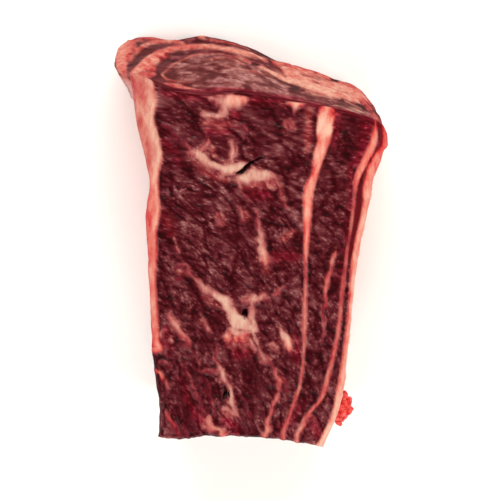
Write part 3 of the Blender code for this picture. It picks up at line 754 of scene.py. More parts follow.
# %% The stripes of the end wall
WALL_FAT = (
    # The lump over the bone side, and the stripes that fan out from it.
    ((-35.4, 60.4, 1.9, 0.42), (-35.9, 57.5, 1.9, 0.38), (-35.8, 54.8, 1.5, 0.42), (-35.3, 52.2, 1.0, 0.50),
     (-34.8, 50.8, 0.6, 0.60)),
    ((-33.3, 61.0, 0.8, 0.66), (-33.6, 58.6, 0.7, 0.70), (-34.2, 56.0, 0.5, 0.75)),
    ((-33.6, 55.8, 0.30, 0.60), (-31.6, 58.9, 0.40, 0.50), (-29.2, 60.5, 0.45, 0.45),
     (-26.0, 61.3, 0.40, 0.45), (-21.8, 61.3, 0.40, 0.50), (-19.6, 60.5, 0.30, 0.50)),
    ((-33.2, 51.9, 0.5, 0.45), (-31.0, 53.6, 0.9, 0.45), (-29.2, 55.0, 1.4, 0.42), (-27.2, 56.4, 1.5, 0.42),
     (-25.4, 57.9, 1.0, 0.45), (-23.2, 58.9, 0.6, 0.45), (-20.0, 59.5, 0.6, 0.42), (-16.0, 59.8, 0.6, 0.38),
     (-12.0, 59.9, 0.55, 0.36), (-9.3, 59.4, 0.5, 0.30), (-4.3, 58.1, 0.45, 0.30), (-0.2, 56.9, 0.40, 0.35),
     (2.0, 56.0, 0.30, 0.50)),
    ((-25.6, 56.6, 0.8, 0.75), (-23.8, 57.6, 0.7, 0.85)),
    ((-29.6, 53.7, 0.6, 0.66), (-27.2, 53.8, 0.7, 0.70)),
    ((-32.6, 51.4, 0.9, 0.50), (-30.6, 51.6, 0.9, 0.55), (-28.6, 52.0, 0.6, 0.62), (-26.8, 52.3, 0.3, 0.70)),
    # Thin lines round and through the lens, and along the lower edge of the wall.
    ((-25.0, 52.3, 0.15, 0.40), (-23.1, 53.9, 0.10, 0.50), (-21.5, 55.2, 0.10, 0.50),
     (-20.0, 56.0, 0.05, 0.50), (-17.9, 57.0, 0.05, 0.55), (-14.0, 57.8, 0.0, 0.55), (-10.5, 57.8, 0.0, 0.50),
     (-6.0, 57.0, 0.10, 0.45), (-1.0, 55.4, 0.15, 0.40)),
    ((-24.9, 52.2, 0.15, 0.35), (-24.5, 51.9, 0.15, 0.35)),
    ((-24.4, 51.7, 0.10, 0.45), (-22.8, 50.9, 0.10, 0.50), (-20.6, 50.4, 0.0, 0.55),
     (-17.5, 50.1, 0.0, 0.60)),
    ((-13.0, 56.4, 0.0, 0.45), (-8.0, 56.6, 0.05, 0.45), (-3.0, 55.0, 0.0, 0.45)),
    ((-8.0, 54.6, 0.0, 0.50), (-2.0, 53.4, 0.05, 0.45), (4.0, 51.4, 0.0, 0.50)),
    ((-15.4, 62.6, 0.50, 0.50), (-14.3, 62.5, 0.50, 0.50)),
    ((-12.0, 61.6, 0.20, 0.65), (-7.0, 60.8, 0.20, 0.65), (-2.0, 59.0, 0.20, 0.60)),
    ((-24.0, 49.5, 0.4, 0.70), (-21.8, 49.0, 0.7, 0.50), (-19.2, 48.5, 0.7, 0.48), (-16.6, 48.0, 0.4, 0.60)),
    ((-32.0, 61.8, 0.3, 0.72), (-28.0, 62.2, 0.4, 0.72), (-22.0, 62.0, 0.3, 0.75)),
    # The fat over the outer muscle.
    ((1.4, 54.2, 0.35, 0.30), (4.5, 52.8, 0.6, 0.15), (7.4, 51.4, 0.6, 0.15), (9.5, 50.2, 0.5, 0.20)),
    ((4.6, 55.6, 0.5, 0.55), (7.0, 55.0, 0.6, 0.50)),
    ((8.5, 53.2, 1.2, 0.35), (13.0, 51.6, 1.6, 0.35), (18.0, 49.6, 1.6, 0.30), (23.0, 47.8, 1.8, 0.25),
     (27.0, 46.2, 1.6, 0.35)),
    ((8.8, 54.8, 0.9, 0.60), (12.5, 53.8, 1.1, 0.62), (17.0, 52.4, 1.0, 0.62), (20.6, 50.9, 0.6, 0.55)),
    ((23.4, 49.9, 0.5, 0.50), (26.6, 48.4, 0.8, 0.55), (28.6, 47.2, 0.6, 0.60)),
    ((28.2, 46.6, 1.0, 0.60), (29.6, 44.6, 0.7, 0.70), (31.2, 42.8, 0.6, 0.80)),
    ((30.6, 41.4, 0.5, 0.80), (32.4, 39.6, 0.7, 0.78), (33.8, 37.6, 0.7, 0.70)),
    ((9.5, 50.6, 0.8, 0.10), (12.6, 49.6, 0.8, 0.15), (17.0, 48.0, 0.8, 0.20), (22.0, 46.6, 0.9, 0.20)),
    ((13.0, 47.6, 0.20, 0.20), (17.0, 46.6, 0.25, 0.20), (20.0, 45.6, 0.15, 0.30)),
    ((21.4, 44.3, 0.15, 0.10), (24.6, 42.9, 0.20, 0.05), (27.4, 41.7, 0.15, 0.10)),
    ((23.0, 45.0, 0.10, 0.30), (28.0, 43.0, 0.10, 0.30)),
)
WALL_LEAN = (
    ((-22.0, 55.5, 0.20), (-20.0, 56.9, 0.30), (-17.8, 58.0, 0.35), (-16.0, 58.5, 0.30), (-13.4, 58.5, 0.20)),
    ((-28.4, 50.6, 0.5), (-25.4, 50.4, 0.3)),
    ((10.6, 49.2, 0.3), (11.4, 48.7, 0.6), (12.4, 48.3, 0.4)),
    ((15.0, 50.2, 0.4), (16.0, 49.9, 0.4)),
    ((12.0, 52.3, 0.15), (15.0, 51.6, 0.2), (19.0, 50.6, 0.15)),
    ((19.5, 50.8, 0.3), (21.5, 50.2, 0.2)),
    ((22.0, 47.9, 0.1), (25.0, 46.7, 0.15)),
    ((9.4, 47.3, 0.5), (14.0, 46.6, 0.7), (19.0, 45.4, 0.7), (24.0, 43.6, 0.7), (29.5, 41.6, 0.6)),
)
LENS_TOP = ((-25.0, 53.2), (-21.6, 55.6), (-16.8, 57.6), (-9.6, 57.6), (-4.0, 55.8), (2.4, 53.0), (8.8, 48.6))
LENS_BOTTOM = ((-25.0, 52.4), (-23.0, 50.8), (-19.2, 49.6), (-12.0, 49.0), (-4.0, 48.8), (4.0, 47.6),
               (8.8, 47.0))
PURPLE_STRIP = WALL_LEAN[-1:]
print("stripes of fat:", len(WALL_FAT), "and of lean:", len(WALL_LEAN))

# %% [markdown]
# ## Reading the end wall
# Seen straight on, a stripe's end that looks round from the photo's low angle would be a tall upright
# edge. So to the right of the lump each stripe also wavers sideways with its depth. The lens and the
# purple strip under it are dry, the lump's stripes less so, and near the cut face the wall is red.

# %% The fields of the end wall
SEEN_PER_DEPTH = math.tan(math.radians(10))
LUMP_STREAKS_END = -20.0
LUMP_STREAKS_FADE = -6.0
WAVER = 1.7
WAVER_HILLS = 15.0
RIPPLE = 0.8
RIPPLE_HILLS = 6.0
WAVER_STARTS = 14.0
LENS_EDGE = 0.9
STRIPE_DRYNESS = 0.3
STRIPE_EDGE = 0.8
STRIPE_SHADE = 0.4
LUMP_SHADE = 0.8
RED_REACH = 1.8
WALL_SALMON = (0.7, 0.35)
WALL_RED = (0.3, 1)
NO_CRACK = -2


def wall_fields(across, along, depth):
    """What the upper end wall shows at a point, and how dry it is there."""
    seen = along + SEEN_PER_DEPTH * depth
    waver = WAVER * swell(across, depth, WAVER_HILLS) + RIPPLE * swell(depth, across, RIPPLE_HILLS)
    across = across + waver * fade(across, LUMP_STREAKS_END, WAVER_STARTS)
    by_lump = fade(across, LUMP_STREAKS_END, LUMP_STREAKS_FADE)
    by_face = 1 - fade(seen, curve(UPPER_END, across), RED_REACH)

    fat, _, tone = chain_field(WALL_FAT, across, seen)
    lean = chain_field(WALL_LEAN, across, seen)[0]
    lens = np.minimum(curve(LENS_TOP, across) - seen, seen - curve(LENS_BOTTOM, across))
    lens = np.where((across > LENS_TOP[0][0]) & (across < LENS_TOP[-1][0]), lens, FAR_OUTSIDE)
    strip = chain_field(PURPLE_STRIP, across, seen)[0]
    dry = np.maximum(soft_edge(np.maximum(lens, strip), LENS_EDGE), STRIPE_DRYNESS * by_lump)
    return {"fat": np.minimum(fat, -lean), "tone": tone, "salmon": mix(*WALL_SALMON, by_face),
            "red": mix(*WALL_RED, by_face), "blush": 0 * fat,
            "shade": -np.maximum(STRIPE_SHADE * soft_edge(lean, STRIPE_EDGE), LUMP_SHADE * by_lump),
            "crack": 0 * fat + NO_CRACK, "groove": 0 * fat}, dry


middle_of_lens = wall_fields(np.array([-10.0]), np.array([53.0]), np.array([5.0]))
print("the lens is this dry, from 0 to 1:", round(float(middle_of_lens[1][0]), 2))

# %% [markdown]
# ## The direction of the fibres
# Muscle is bundles of fibre, and on the cut face they run from the upper left to the lower right, more
# steeply towards the lower end, and coarser towards the upper end. A noise texture has no direction of
# its own. It gets one when the place that it reads is squeezed along the fibres, so each point stores
# three numbers: how far it is across the fibres, how far along them, divided by the stretch, and how
# deep. On the end wall the streaks follow the lens instead.

# %% Grain coordinates
FIBRE_STRETCH = 2.1
STEEP = 0.45
BEND_SPAN = 15.0
BEND_SHARE = 0.2
FAN_OUT = 0.004
FAN_CENTRE = -8
UPPER_PART = (-10, 50)
UPPER_COARSENS = 0.25
UPPER_SHORTENS = 0.04
FIBRE_WOBBLE = 0.8
FIBRE_WOBBLE_LENGTH = 11.0
WALL_STREAK_STRETCH = 3.8
WALL_STREAK_SQUEEZE = 1.1
WALL_STREAK_DEPTH = 0.3


def face_grain(across, along, depth):
    """How far a place is across the fibres, along them and down, for the cut face."""
    bend = along + np.sqrt(along**2 + BEND_SPAN**2)
    slant = STEEP * along + BEND_SHARE * bend - FAN_OUT * (across - FAN_CENTRE) * along
    coarse = 1 - UPPER_COARSENS * fade(along, *UPPER_PART)
    across_fibres = coarse * (across + slant) + FIBRE_WOBBLE * swell(across, along, FIBRE_WOBBLE_LENGTH)
    return np.stack((across_fibres, along / FIBRE_STRETCH + UPPER_SHORTENS * bend, depth), axis=-1)


def wall_grain(across, along, depth):
    """The same for the end wall, where the streaks follow the middle of the lens."""
    seen = along + SEEN_PER_DEPTH * depth
    axis = (curve(LENS_TOP, across) + curve(LENS_BOTTOM, across)) / 2
    return np.stack((WALL_STREAK_SQUEEZE * (seen - axis), across / WALL_STREAK_STRETCH,
                     WALL_STREAK_DEPTH * depth), axis=-1)


print("the fibre noise is drawn out along the fibres by", FIBRE_STRETCH)

# %% [markdown]
# ## One helper that adds a node, and one that runs a tree
# Node trees can be drawn by hand in the editor, but a script keeps them readable and repeatable. One
# function adds any node, with its settings and its links. Another puts a tree on a mesh as a modifier,
# sets its named inputs by their identifiers, and takes the result as a plain mesh.

# %% Nodes and trees
MM = 0.001


def node(tree, kind, inputs, **settings):
    """Add a node, apply its settings, and fill its inputs with values or with links from sockets."""
    made = tree.nodes.new(kind)
    for name, value in settings.items():
        setattr(made, name, value)
    for key, value in inputs.items():
        if isinstance(value, bpy.types.NodeSocket):
            tree.links.new(value, made.inputs[key])
        else:
            made.inputs[key].default_value = value
    return made


def geometry_tree(name, inputs):
    """An empty Geometry Nodes tree with a geometry input and output and these named inputs."""
    tree = bpy.data.node_groups.new(name, "GeometryNodeTree")
    tree.interface.new_socket("Geometry", in_out="INPUT", socket_type="NodeSocketGeometry")
    tree.interface.new_socket("Geometry", in_out="OUTPUT", socket_type="NodeSocketGeometry")
    for label, kind in inputs.items():
        tree.interface.new_socket(label, in_out="INPUT", socket_type=kind)
    return tree


def run_tree(tree, mesh, values):
    """Run a tree on a mesh with its named inputs set, and hand back a plain mesh."""
    carrier = bpy.data.objects.new("carrier", mesh)
    bpy.context.scene.collection.objects.link(carrier)
    modifier = carrier.modifiers.new(tree.name, "NODES")
    modifier.node_group = tree
    for item in tree.interface.items_tree:
        if item.in_out == "INPUT" and item.name in values:
            modifier[item.identifier] = values[item.name]
    depsgraph = bpy.context.evaluated_depsgraph_get()
    made = bpy.data.meshes.new_from_object(carrier.evaluated_get(depsgraph), preserve_all_data_layers=True,
                                           depsgraph=depsgraph)
    bpy.data.objects.remove(carrier)
    return made


print("lengths are written in metres: 1 mm is", MM)

# %% [markdown]
# ## A fine lattice for each layer
# Each layer starts as a box whose sides are cut into a fine, even lattice. The Mesh Cube node makes one
# from three counts, so a small Geometry Nodes tree with named inputs serves all the layers. Python then
# bends the lattice into the layer, because the lines above are Python functions.

# %% The lattice tree
lattice_tree = geometry_tree("layer_lattice", {
    "Columns": "NodeSocketInt", "Rows": "NodeSocketInt", "Levels": "NodeSocketInt",
    "Material": "NodeSocketMaterial"})
given = node(lattice_tree, "NodeGroupInput", {})
box = node(lattice_tree, "GeometryNodeMeshCube", {
    "Vertices X": given.outputs["Columns"], "Vertices Y": given.outputs["Rows"],
    "Vertices Z": given.outputs["Levels"]})
real = node(lattice_tree, "GeometryNodeRealizeInstances", {0: box.outputs["Mesh"]})
finished = node(lattice_tree, "GeometryNodeSetMaterial", {
    "Geometry": real.outputs[0], "Material": given.outputs["Material"]})
node(lattice_tree, "NodeGroupOutput", {0: finished.outputs[0]})
print(lattice_tree.name, "has", len(lattice_tree.nodes), "nodes")

# %% [markdown]
# ## The relief of cut meat
# A knife leaves the bundles of fibre standing a few tenths of a millimetre proud of the tissue between
# them, and soft fat lies in shallow folds down the sides. That could be bump alone, but real relief also
# roughens the outline and catches the light. The second tree moves each point along its stored outward
# direction, by one noise that reads the grain, one for low lumps and one for the folds. Each noise has
# its top level taken off, so nearly all points move inwards. Points that two layers share store the
# same values, so the layers stay joined.

# %% The relief tree: its inputs and its three noises
FIBRE_PITCH = 1.7
FIBRE_RELIEF = 0.9
LUMP_PITCH = 4.5
LUMP_RELIEF = 0.8
FOLD_PITCH = 7.0
FOLD_RELIEF = 2.6
RELIEF_SEED = 3.0

relief_tree = geometry_tree("fibre_relief", {
    "Fibre pitch": "NodeSocketFloat", "Fibre relief": "NodeSocketFloat", "Lump pitch": "NodeSocketFloat",
    "Lump relief": "NodeSocketFloat", "Fold pitch": "NodeSocketFloat", "Fold relief": "NodeSocketFloat",
    "Seed": "NodeSocketFloat", "Material": "NodeSocketMaterial"})
given = node(relief_tree, "NodeGroupInput", {})
grain = node(relief_tree, "GeometryNodeInputNamedAttribute", {"Name": "grain"}, data_type="FLOAT_VECTOR")
outward = node(relief_tree, "GeometryNodeInputNamedAttribute", {"Name": "outward"}, data_type="FLOAT_VECTOR")
lean = node(relief_tree, "GeometryNodeInputNamedAttribute", {"Name": "lean"}, data_type="FLOAT")
side = node(relief_tree, "GeometryNodeInputNamedAttribute", {"Name": "side"}, data_type="FLOAT")
place = node(relief_tree, "GeometryNodeInputPosition", {})
fibre_scale = node(relief_tree, "ShaderNodeMath", {0: 1.0, 1: given.outputs["Fibre pitch"]},
                   operation="DIVIDE")
lump_scale = node(relief_tree, "ShaderNodeMath", {0: 1.0 / MM, 1: given.outputs["Lump pitch"]},
                  operation="DIVIDE")
fold_scale = node(relief_tree, "ShaderNodeMath", {0: 1.0 / MM, 1: given.outputs["Fold pitch"]},
                  operation="DIVIDE")
fibres = node(relief_tree, "ShaderNodeTexNoise", {
    "Vector": grain.outputs["Attribute"], "W": given.outputs["Seed"], "Scale": fibre_scale.outputs[0],
    "Detail": 2.0}, noise_dimensions="4D")
lumps = node(relief_tree, "ShaderNodeTexNoise", {
    "Vector": place.outputs[0], "W": given.outputs["Seed"], "Scale": lump_scale.outputs[0],
    "Detail": 1.0}, noise_dimensions="4D")
folds = node(relief_tree, "ShaderNodeTexNoise", {
    "Vector": place.outputs[0], "W": given.outputs["Seed"], "Scale": fold_scale.outputs[0],
    "Detail": 2.0, "Distortion": 0.8}, noise_dimensions="4D")
print("relief of fibres, lumps and folds, mm:", FIBRE_RELIEF, LUMP_RELIEF, FOLD_RELIEF)

# %% The relief tree: heights and the move
FIBRE_TOP = 0.68
LUMP_TOP = 0.68
FOLD_TOP = 0.64

fibre_drop = node(relief_tree, "ShaderNodeMath", {0: fibres.outputs[0], 1: FIBRE_TOP}, operation="SUBTRACT")
fibre_height = node(relief_tree, "ShaderNodeMath", {
    0: fibre_drop.outputs[0], 1: given.outputs["Fibre relief"]}, operation="MULTIPLY")
lean_height = node(relief_tree, "ShaderNodeMath", {0: fibre_height.outputs[0], 1: lean.outputs["Attribute"]},
                   operation="MULTIPLY")
lump_drop = node(relief_tree, "ShaderNodeMath", {0: lumps.outputs[0], 1: LUMP_TOP}, operation="SUBTRACT")
cut_height = node(relief_tree, "ShaderNodeMath", {
    0: lump_drop.outputs[0], 1: given.outputs["Lump relief"], 2: lean_height.outputs[0]},
    operation="MULTIPLY_ADD")
fold_drop = node(relief_tree, "ShaderNodeMath", {0: folds.outputs[0], 1: FOLD_TOP}, operation="SUBTRACT")
fold_height = node(relief_tree, "ShaderNodeMath", {0: fold_drop.outputs[0], 1: given.outputs["Fold relief"]},
                   operation="MULTIPLY")
height = node(relief_tree, "ShaderNodeMath", {
    0: fold_height.outputs[0], 1: side.outputs["Attribute"], 2: cut_height.outputs[0]},
    operation="MULTIPLY_ADD")
in_metres = node(relief_tree, "ShaderNodeMath", {0: height.outputs[0], 1: MM}, operation="MULTIPLY")
offset = node(relief_tree, "ShaderNodeVectorMath", {
    0: outward.outputs["Attribute"], "Scale": in_metres.outputs[0]}, operation="SCALE")
moved = node(relief_tree, "GeometryNodeSetPosition", {
    "Geometry": given.outputs["Geometry"], "Offset": offset.outputs[0]})
real = node(relief_tree, "GeometryNodeRealizeInstances", {0: moved.outputs[0]})
finished = node(relief_tree, "GeometryNodeSetMaterial", {
    "Geometry": real.outputs[0], "Material": given.outputs["Material"]})
node(relief_tree, "NodeGroupOutput", {0: finished.outputs[0]})
print(relief_tree.name, "has", len(relief_tree.nodes), "nodes")

# %% [markdown]
# ## The colours of raw beef
# Lean beef is dark maroon, and its bundles show as light and dark streaks about a millimetre wide, with
# pale tissue between them. Its fat runs from cream to salmon to deep red. A ramp from dark to light
# carries such a family of colours better than one colour with a brightness, because lit fibres also turn
# pinker. So there is a ramp for each state of the lean: fresh, bright red, blushing and dried. Marbling
# and the layers' fat have one each.

# %% Colours
def linear(code):
    """A #rrggbb colour as linear red, green, blue and alpha."""
    parts = [int(code[i:i + 2], 16) / 255 for i in (1, 3, 5)]
    return [part / 12.92 if part <= 0.04045 else ((part + 0.055) / 1.055) ** 2.4 for part in parts] + [1.0]


def fill_ramp(ramp, stops):
    """Give a colour ramp node these (position, colour code) stops."""
    elements = ramp.color_ramp.elements
    while len(elements) > 1:
        elements.remove(elements[-1])
    elements[0].position, elements[0].color = stops[0][0], linear(stops[0][1])
    for position, code in stops[1:]:
        elements.new(position).color = linear(code)


LEAN_COLOURS = ((0.25, "#240002"), (0.36, "#390208"), (0.49, "#4f161c"), (0.64, "#6f3738"), (0.84, "#956560"))
RED_COLOURS = ((0.34, "#440105"), (0.50, "#6c0c1d"), (0.68, "#96333b"))
BLUSH_COLOURS = ((0.34, "#701c22"), (0.50, "#994543"), (0.66, "#b97163"))
DRY_COLOURS = ((0.30, "#511a1b"), (0.44, "#6f3331"), (0.56, "#8b514e"), (0.72, "#aa7770"))
MARBLING_COLOURS = ((0.0, "#c59c87"), (0.2, "#bb8574"), (0.4, "#aa695f"), (0.6, "#994f4b"), (0.8, "#843236"),
                    (1.0, "#621520"))
SALMON_COLOURS = ((0.0, "#d4a48d"), (0.2, "#d08f7b"), (0.4, "#cb7463"), (0.55, "#c65b4f"), (0.7, "#c13e3a"),
                  (0.85, "#9b2324"), (1.0, "#680d15"))
# The groove: the cap muscle's own dark red, deepened with painted shade.
GROOVE_SHADE_COLOUR = "#5a0c12"
CRACK_COLOUR = "#160205"
# The thin skin on the sides: its own pale grey, which also paints the sheen that it has.
SKIN_AND_SHEEN_COLOUR = "#c9a59b"
print("darkest and lightest fresh lean:", LEAN_COLOURS[0][1], LEAN_COLOURS[-1][1])

# %% [markdown]
# ## What the paint reads
# One group of nodes paints lean and fat alike, because the edge between them wanders by a noise and
# crosses from one layer to the next. It reads the values that each point stores. Its noises read either
# the stored grain, so that they run with the fibres, or Object coordinates, which stay put on the
# block. A pattern is drawn out in one direction when the place that it reads is squeezed in it.

# %% The paint's places
STORED_VALUES = ("fat", "tone", "salmon", "red", "blush", "shade", "dry", "crack", "groove", "wall", "dull",
                 "side")
GRANULE_SQUEEZE = (1.0, 2.0, 1.0)
FAT_STREAK_SQUEEZE = (1.0, 0.35, 0.6)
SHEET_SQUEEZE = (1.0, 0.4, 1.0)

tissue = bpy.data.node_groups.new("beef_tissue", "ShaderNodeTree")
for label, kind in {"Color": "NodeSocketColor", "Roughness": "NodeSocketFloat", "Specular": "NodeSocketFloat",
                    "Height": "NodeSocketFloat"}.items():
    tissue.interface.new_socket(label, in_out="OUTPUT", socket_type=kind)
grain_place = node(tissue, "ShaderNodeAttribute", {}, attribute_name="grain").outputs["Vector"]
stored = {name: node(tissue, "ShaderNodeAttribute", {}, attribute_name=name).outputs["Fac"]
          for name in STORED_VALUES}
place = node(tissue, "ShaderNodeTexCoord", {}).outputs["Object"]
granule_place = node(tissue, "ShaderNodeVectorMath", {0: grain_place, 1: GRANULE_SQUEEZE},
                     operation="MULTIPLY").outputs[0]
fat_place = node(tissue, "ShaderNodeVectorMath", {0: place, 1: FAT_STREAK_SQUEEZE},
                 operation="MULTIPLY").outputs[0]
sheet_place = node(tissue, "ShaderNodeVectorMath", {0: place, 1: SHEET_SQUEEZE},
                   operation="MULTIPLY").outputs[0]
print("the paint reads", len(stored), "stored values and the grain")

# %% [markdown]
# ## The patterns in meat
# Each pattern stands for something real. Bundles are the coarse grain of meat. Granules are the cut
# ends of single fibres, which are a few hundredths of a millimetre across and would not show, so they
# are drawn much coarser. Gaps are the dark seams between bundles, which a Voronoi texture draws as the
# edges of its cells, and a noise bends them so that no straight edge is left. Dots are pale specks, the
# painted glints of the moist cut. Blotches, fat streaks, bare patches and the thin sheets of skin are
# larger and need no grain.

# %% Noises for the lean
BUNDLE_PITCH = 2.6
BUNDLE_SEED = 3.0
GRANULE_PITCH = 1.6
GRANULE_SEED = 8.0
GAP_PITCH = 4.4
GAP_CELL = 0.65 * GAP_PITCH
GAP_BEND = 0.35
GLINT_DOT_PITCH = 1.0
BLOTCH_PITCH = 7.0

bundles = node(tissue, "ShaderNodeTexNoise", {
    "Vector": grain_place, "W": BUNDLE_SEED, "Scale": 1 / BUNDLE_PITCH, "Detail": 1.0, "Distortion": 0.6},
    noise_dimensions="4D").outputs[0]
granules = node(tissue, "ShaderNodeTexNoise", {
    "Vector": granule_place, "W": GRANULE_SEED, "Scale": 1 / GRANULE_PITCH, "Detail": 2.0, "Roughness": 0.55,
    "Distortion": 0.2}, noise_dimensions="4D").outputs[0]
gap_bends = node(tissue, "ShaderNodeTexNoise", {
    "Vector": grain_place, "Scale": 1 / GAP_PITCH, "Detail": 1.0}).outputs[1]
gap_place = node(tissue, "ShaderNodeMix", {0: GAP_BEND, 4: grain_place, 5: gap_bends},
                 data_type="VECTOR").outputs[1]
gaps = node(tissue, "ShaderNodeTexVoronoi", {"Vector": gap_place, "Scale": 1 / GAP_CELL},
            feature="DISTANCE_TO_EDGE").outputs[0]
# Pale dots that only lighten the lean: painted glints of the moist cut.
dots = node(tissue, "ShaderNodeTexVoronoi", {"Vector": granule_place, "Scale": 1 / GLINT_DOT_PITCH},
            feature="F1").outputs[0]
blotches = node(tissue, "ShaderNodeTexNoise", {
    "Vector": place, "Scale": 1 / (BLOTCH_PITCH * MM), "Detail": 2.0}).outputs[0]
print("bundles, granules, gaps and dots, mm apart:", BUNDLE_PITCH, GRANULE_PITCH, GAP_PITCH, GLINT_DOT_PITCH)

# %% Noises for the fat and the skin
FAT_STREAK_PITCH = 1.7
PATCH_PITCH = 11.0
SHEET_PITCH = 13.0
SHEET_SEED = 5.0

fat_streaks = node(tissue, "ShaderNodeTexNoise", {
    "Vector": fat_place, "Scale": 1 / (FAT_STREAK_PITCH * MM), "Detail": 4.0, "Roughness": 0.65}).outputs[0]
patches = node(tissue, "ShaderNodeTexNoise", {
    "Vector": sheet_place, "Scale": 1 / (PATCH_PITCH * MM), "Detail": 4.0, "Roughness": 0.6,
    "Distortion": 0.6}).outputs[0]
sheets = node(tissue, "ShaderNodeTexNoise", {
    "Vector": sheet_place, "W": SHEET_SEED, "Scale": 1 / (SHEET_PITCH * MM), "Detail": 5.0, "Roughness": 0.55,
    "Distortion": 1.5}, noise_dimensions="4D").outputs[0]
print("fat streaks, bare patches and sheets of skin, mm apart:", FAT_STREAK_PITCH, PATCH_PITCH, SHEET_PITCH)

# %% [markdown]
# ## From patterns to the tone of the lean
# Painting every bundle by hand would take days, so the patterns are weighed and added up. Bundles and
# granules are taken about their middle level, so they make as many places lighter as darker, gaps only
# darken and the dots, painted glints, only lighten. Where the cut face turns into the end wall the two
# grains meet and would smear, so all four are calmed there. A shaded place is darker and has less
# contrast, a light place more. The sum is the place at which the colour ramps are read.

# %% The tone of the lean
GAP_WIDTH = 0.13
GLINT_DOT_FULL_AT = 0.12
GLINT_DOT_ENDS_AT = 0.42
GRANULE_LEVEL = 0.56
BUNDLE_LEVEL = 0.5
GLINT_DOT_WEIGHT = 0.15
BUNDLE_WEIGHT = 0.45
GAP_WEIGHT = -0.30
SHADE_WEIGHT = 0.09
BLOTCH_WEIGHT = 0.45
LEAN_LEVEL = 0.31
DARK_CONTRAST = 0.4
LIGHT_CONTRAST = 1.4

calm = node(tissue, "ShaderNodeMath", {0: stored["wall"], 1: 2.0, 2: -1.0},
            operation="MULTIPLY_ADD").outputs[0]
calm = node(tissue, "ShaderNodeMath", {0: calm}, operation="ABSOLUTE").outputs[0]
gap_share = node(tissue, "ShaderNodeMapRange", {
    "Value": gaps, "From Min": 0.0, "From Max": GAP_WIDTH, "To Min": 1.0, "To Max": 0.0},
    interpolation_type="SMOOTHSTEP").outputs[0]
gap_share = node(tissue, "ShaderNodeMath", {0: gap_share, 1: blotches}, operation="MULTIPLY").outputs[0]
gap_share = node(tissue, "ShaderNodeMath", {0: gap_share, 1: calm}, operation="MULTIPLY").outputs[0]
# Where the pale dots lie: painted glints, carried into the lean with the granules.
glint_dot_share = node(tissue, "ShaderNodeMapRange", {
    "Value": dots, "From Min": GLINT_DOT_FULL_AT, "From Max": GLINT_DOT_ENDS_AT, "To Min": 1.0, "To Max": 0.0},
    interpolation_type="SMOOTHSTEP").outputs[0]
grit = node(tissue, "ShaderNodeMath", {0: granules, 1: GRANULE_LEVEL}, operation="SUBTRACT").outputs[0]
grit = node(tissue, "ShaderNodeMath", {0: glint_dot_share, 1: GLINT_DOT_WEIGHT, 2: grit},
            operation="MULTIPLY_ADD").outputs[0]
grit = node(tissue, "ShaderNodeMath", {0: grit, 1: calm}, operation="MULTIPLY").outputs[0]
bundle_rise = node(tissue, "ShaderNodeMath", {0: bundles, 1: BUNDLE_LEVEL}, operation="SUBTRACT").outputs[0]
bundle_rise = node(tissue, "ShaderNodeMath", {0: bundle_rise, 1: calm}, operation="MULTIPLY").outputs[0]
streaks = grit
for pattern, weight in ((bundle_rise, BUNDLE_WEIGHT), (gap_share, GAP_WEIGHT)):
    streaks = node(tissue, "ShaderNodeMath", {0: pattern, 1: weight, 2: streaks},
                   operation="MULTIPLY_ADD").outputs[0]
contrast = node(tissue, "ShaderNodeMapRange", {
    "Value": stored["shade"], "From Min": -1.0, "From Max": 1.0, "To Min": DARK_CONTRAST,
    "To Max": LIGHT_CONTRAST}).outputs[0]
shown_streaks = node(tissue, "ShaderNodeMath", {0: streaks, 1: contrast}, operation="MULTIPLY").outputs[0]
lean_tone = shown_streaks
for pattern, weight in ((stored["shade"], SHADE_WEIGHT), (blotches, BLOTCH_WEIGHT)):
    lean_tone = node(tissue, "ShaderNodeMath", {0: pattern, 1: weight, 2: lean_tone},
                     operation="MULTIPLY_ADD").outputs[0]
lean_tone = node(tissue, "ShaderNodeMath", {0: lean_tone, 1: LEAN_LEVEL}, operation="ADD").outputs[0]
print("contrast of the streaks from shaded to light places:", DARK_CONTRAST, "to", LIGHT_CONTRAST)

# %% [markdown]
# ## The tone of the fat
# Fat starts from its stored tone. Fine streaks mottle it, the end wall's streaks show in it faintly,
# and down the sides a thin skin over it comes and goes in sheets and makes it paler, its own colour
# with a painted sheen. The tone then reads two ramps, cream marbling and salmon layers, and the stored
# salmon value mixes them.

# %% The colour of the fat
FAT_STREAK_WEIGHT = 1.3
GRIT_IN_FAT = -0.15
WALL_STREAKS_IN_FAT = -0.6
FAT_LEVEL = 0.67
SHEET_LEVEL = 0.5
SHEET_WEIGHT = -1.2

sheet_rise = node(tissue, "ShaderNodeMath", {0: sheets, 1: SHEET_LEVEL}, operation="SUBTRACT").outputs[0]
sheet_rise = node(tissue, "ShaderNodeMath", {0: sheet_rise, 1: stored["side"]},
                  operation="MULTIPLY").outputs[0]
wall_streaks = node(tissue, "ShaderNodeMath", {0: shown_streaks, 1: stored["wall"]},
                    operation="MULTIPLY").outputs[0]
fat_tone = stored["tone"]
for pattern, weight in ((fat_streaks, FAT_STREAK_WEIGHT), (grit, GRIT_IN_FAT),
                        (wall_streaks, WALL_STREAKS_IN_FAT)):
    fat_tone = node(tissue, "ShaderNodeMath", {0: pattern, 1: weight, 2: fat_tone},
                    operation="MULTIPLY_ADD").outputs[0]
fat_tone = node(tissue, "ShaderNodeMath", {0: fat_tone, 1: FAT_LEVEL}, operation="SUBTRACT").outputs[0]
fat_tone = node(tissue, "ShaderNodeMath", {0: sheet_rise, 1: SHEET_WEIGHT, 2: fat_tone},
                operation="MULTIPLY_ADD").outputs[0]
marbling_ramp = node(tissue, "ShaderNodeValToRGB", {0: fat_tone})
fill_ramp(marbling_ramp, MARBLING_COLOURS)
salmon_ramp = node(tissue, "ShaderNodeValToRGB", {0: fat_tone})
fill_ramp(salmon_ramp, SALMON_COLOURS)
fat_colour = node(tissue, "ShaderNodeMix", {0: stored["salmon"], 6: marbling_ramp.outputs[0],
                                            7: salmon_ramp.outputs[0]}, data_type="RGBA").outputs[2]
print("fat reads ramps of", len(MARBLING_COLOURS), "and", len(SALMON_COLOURS), "colours")

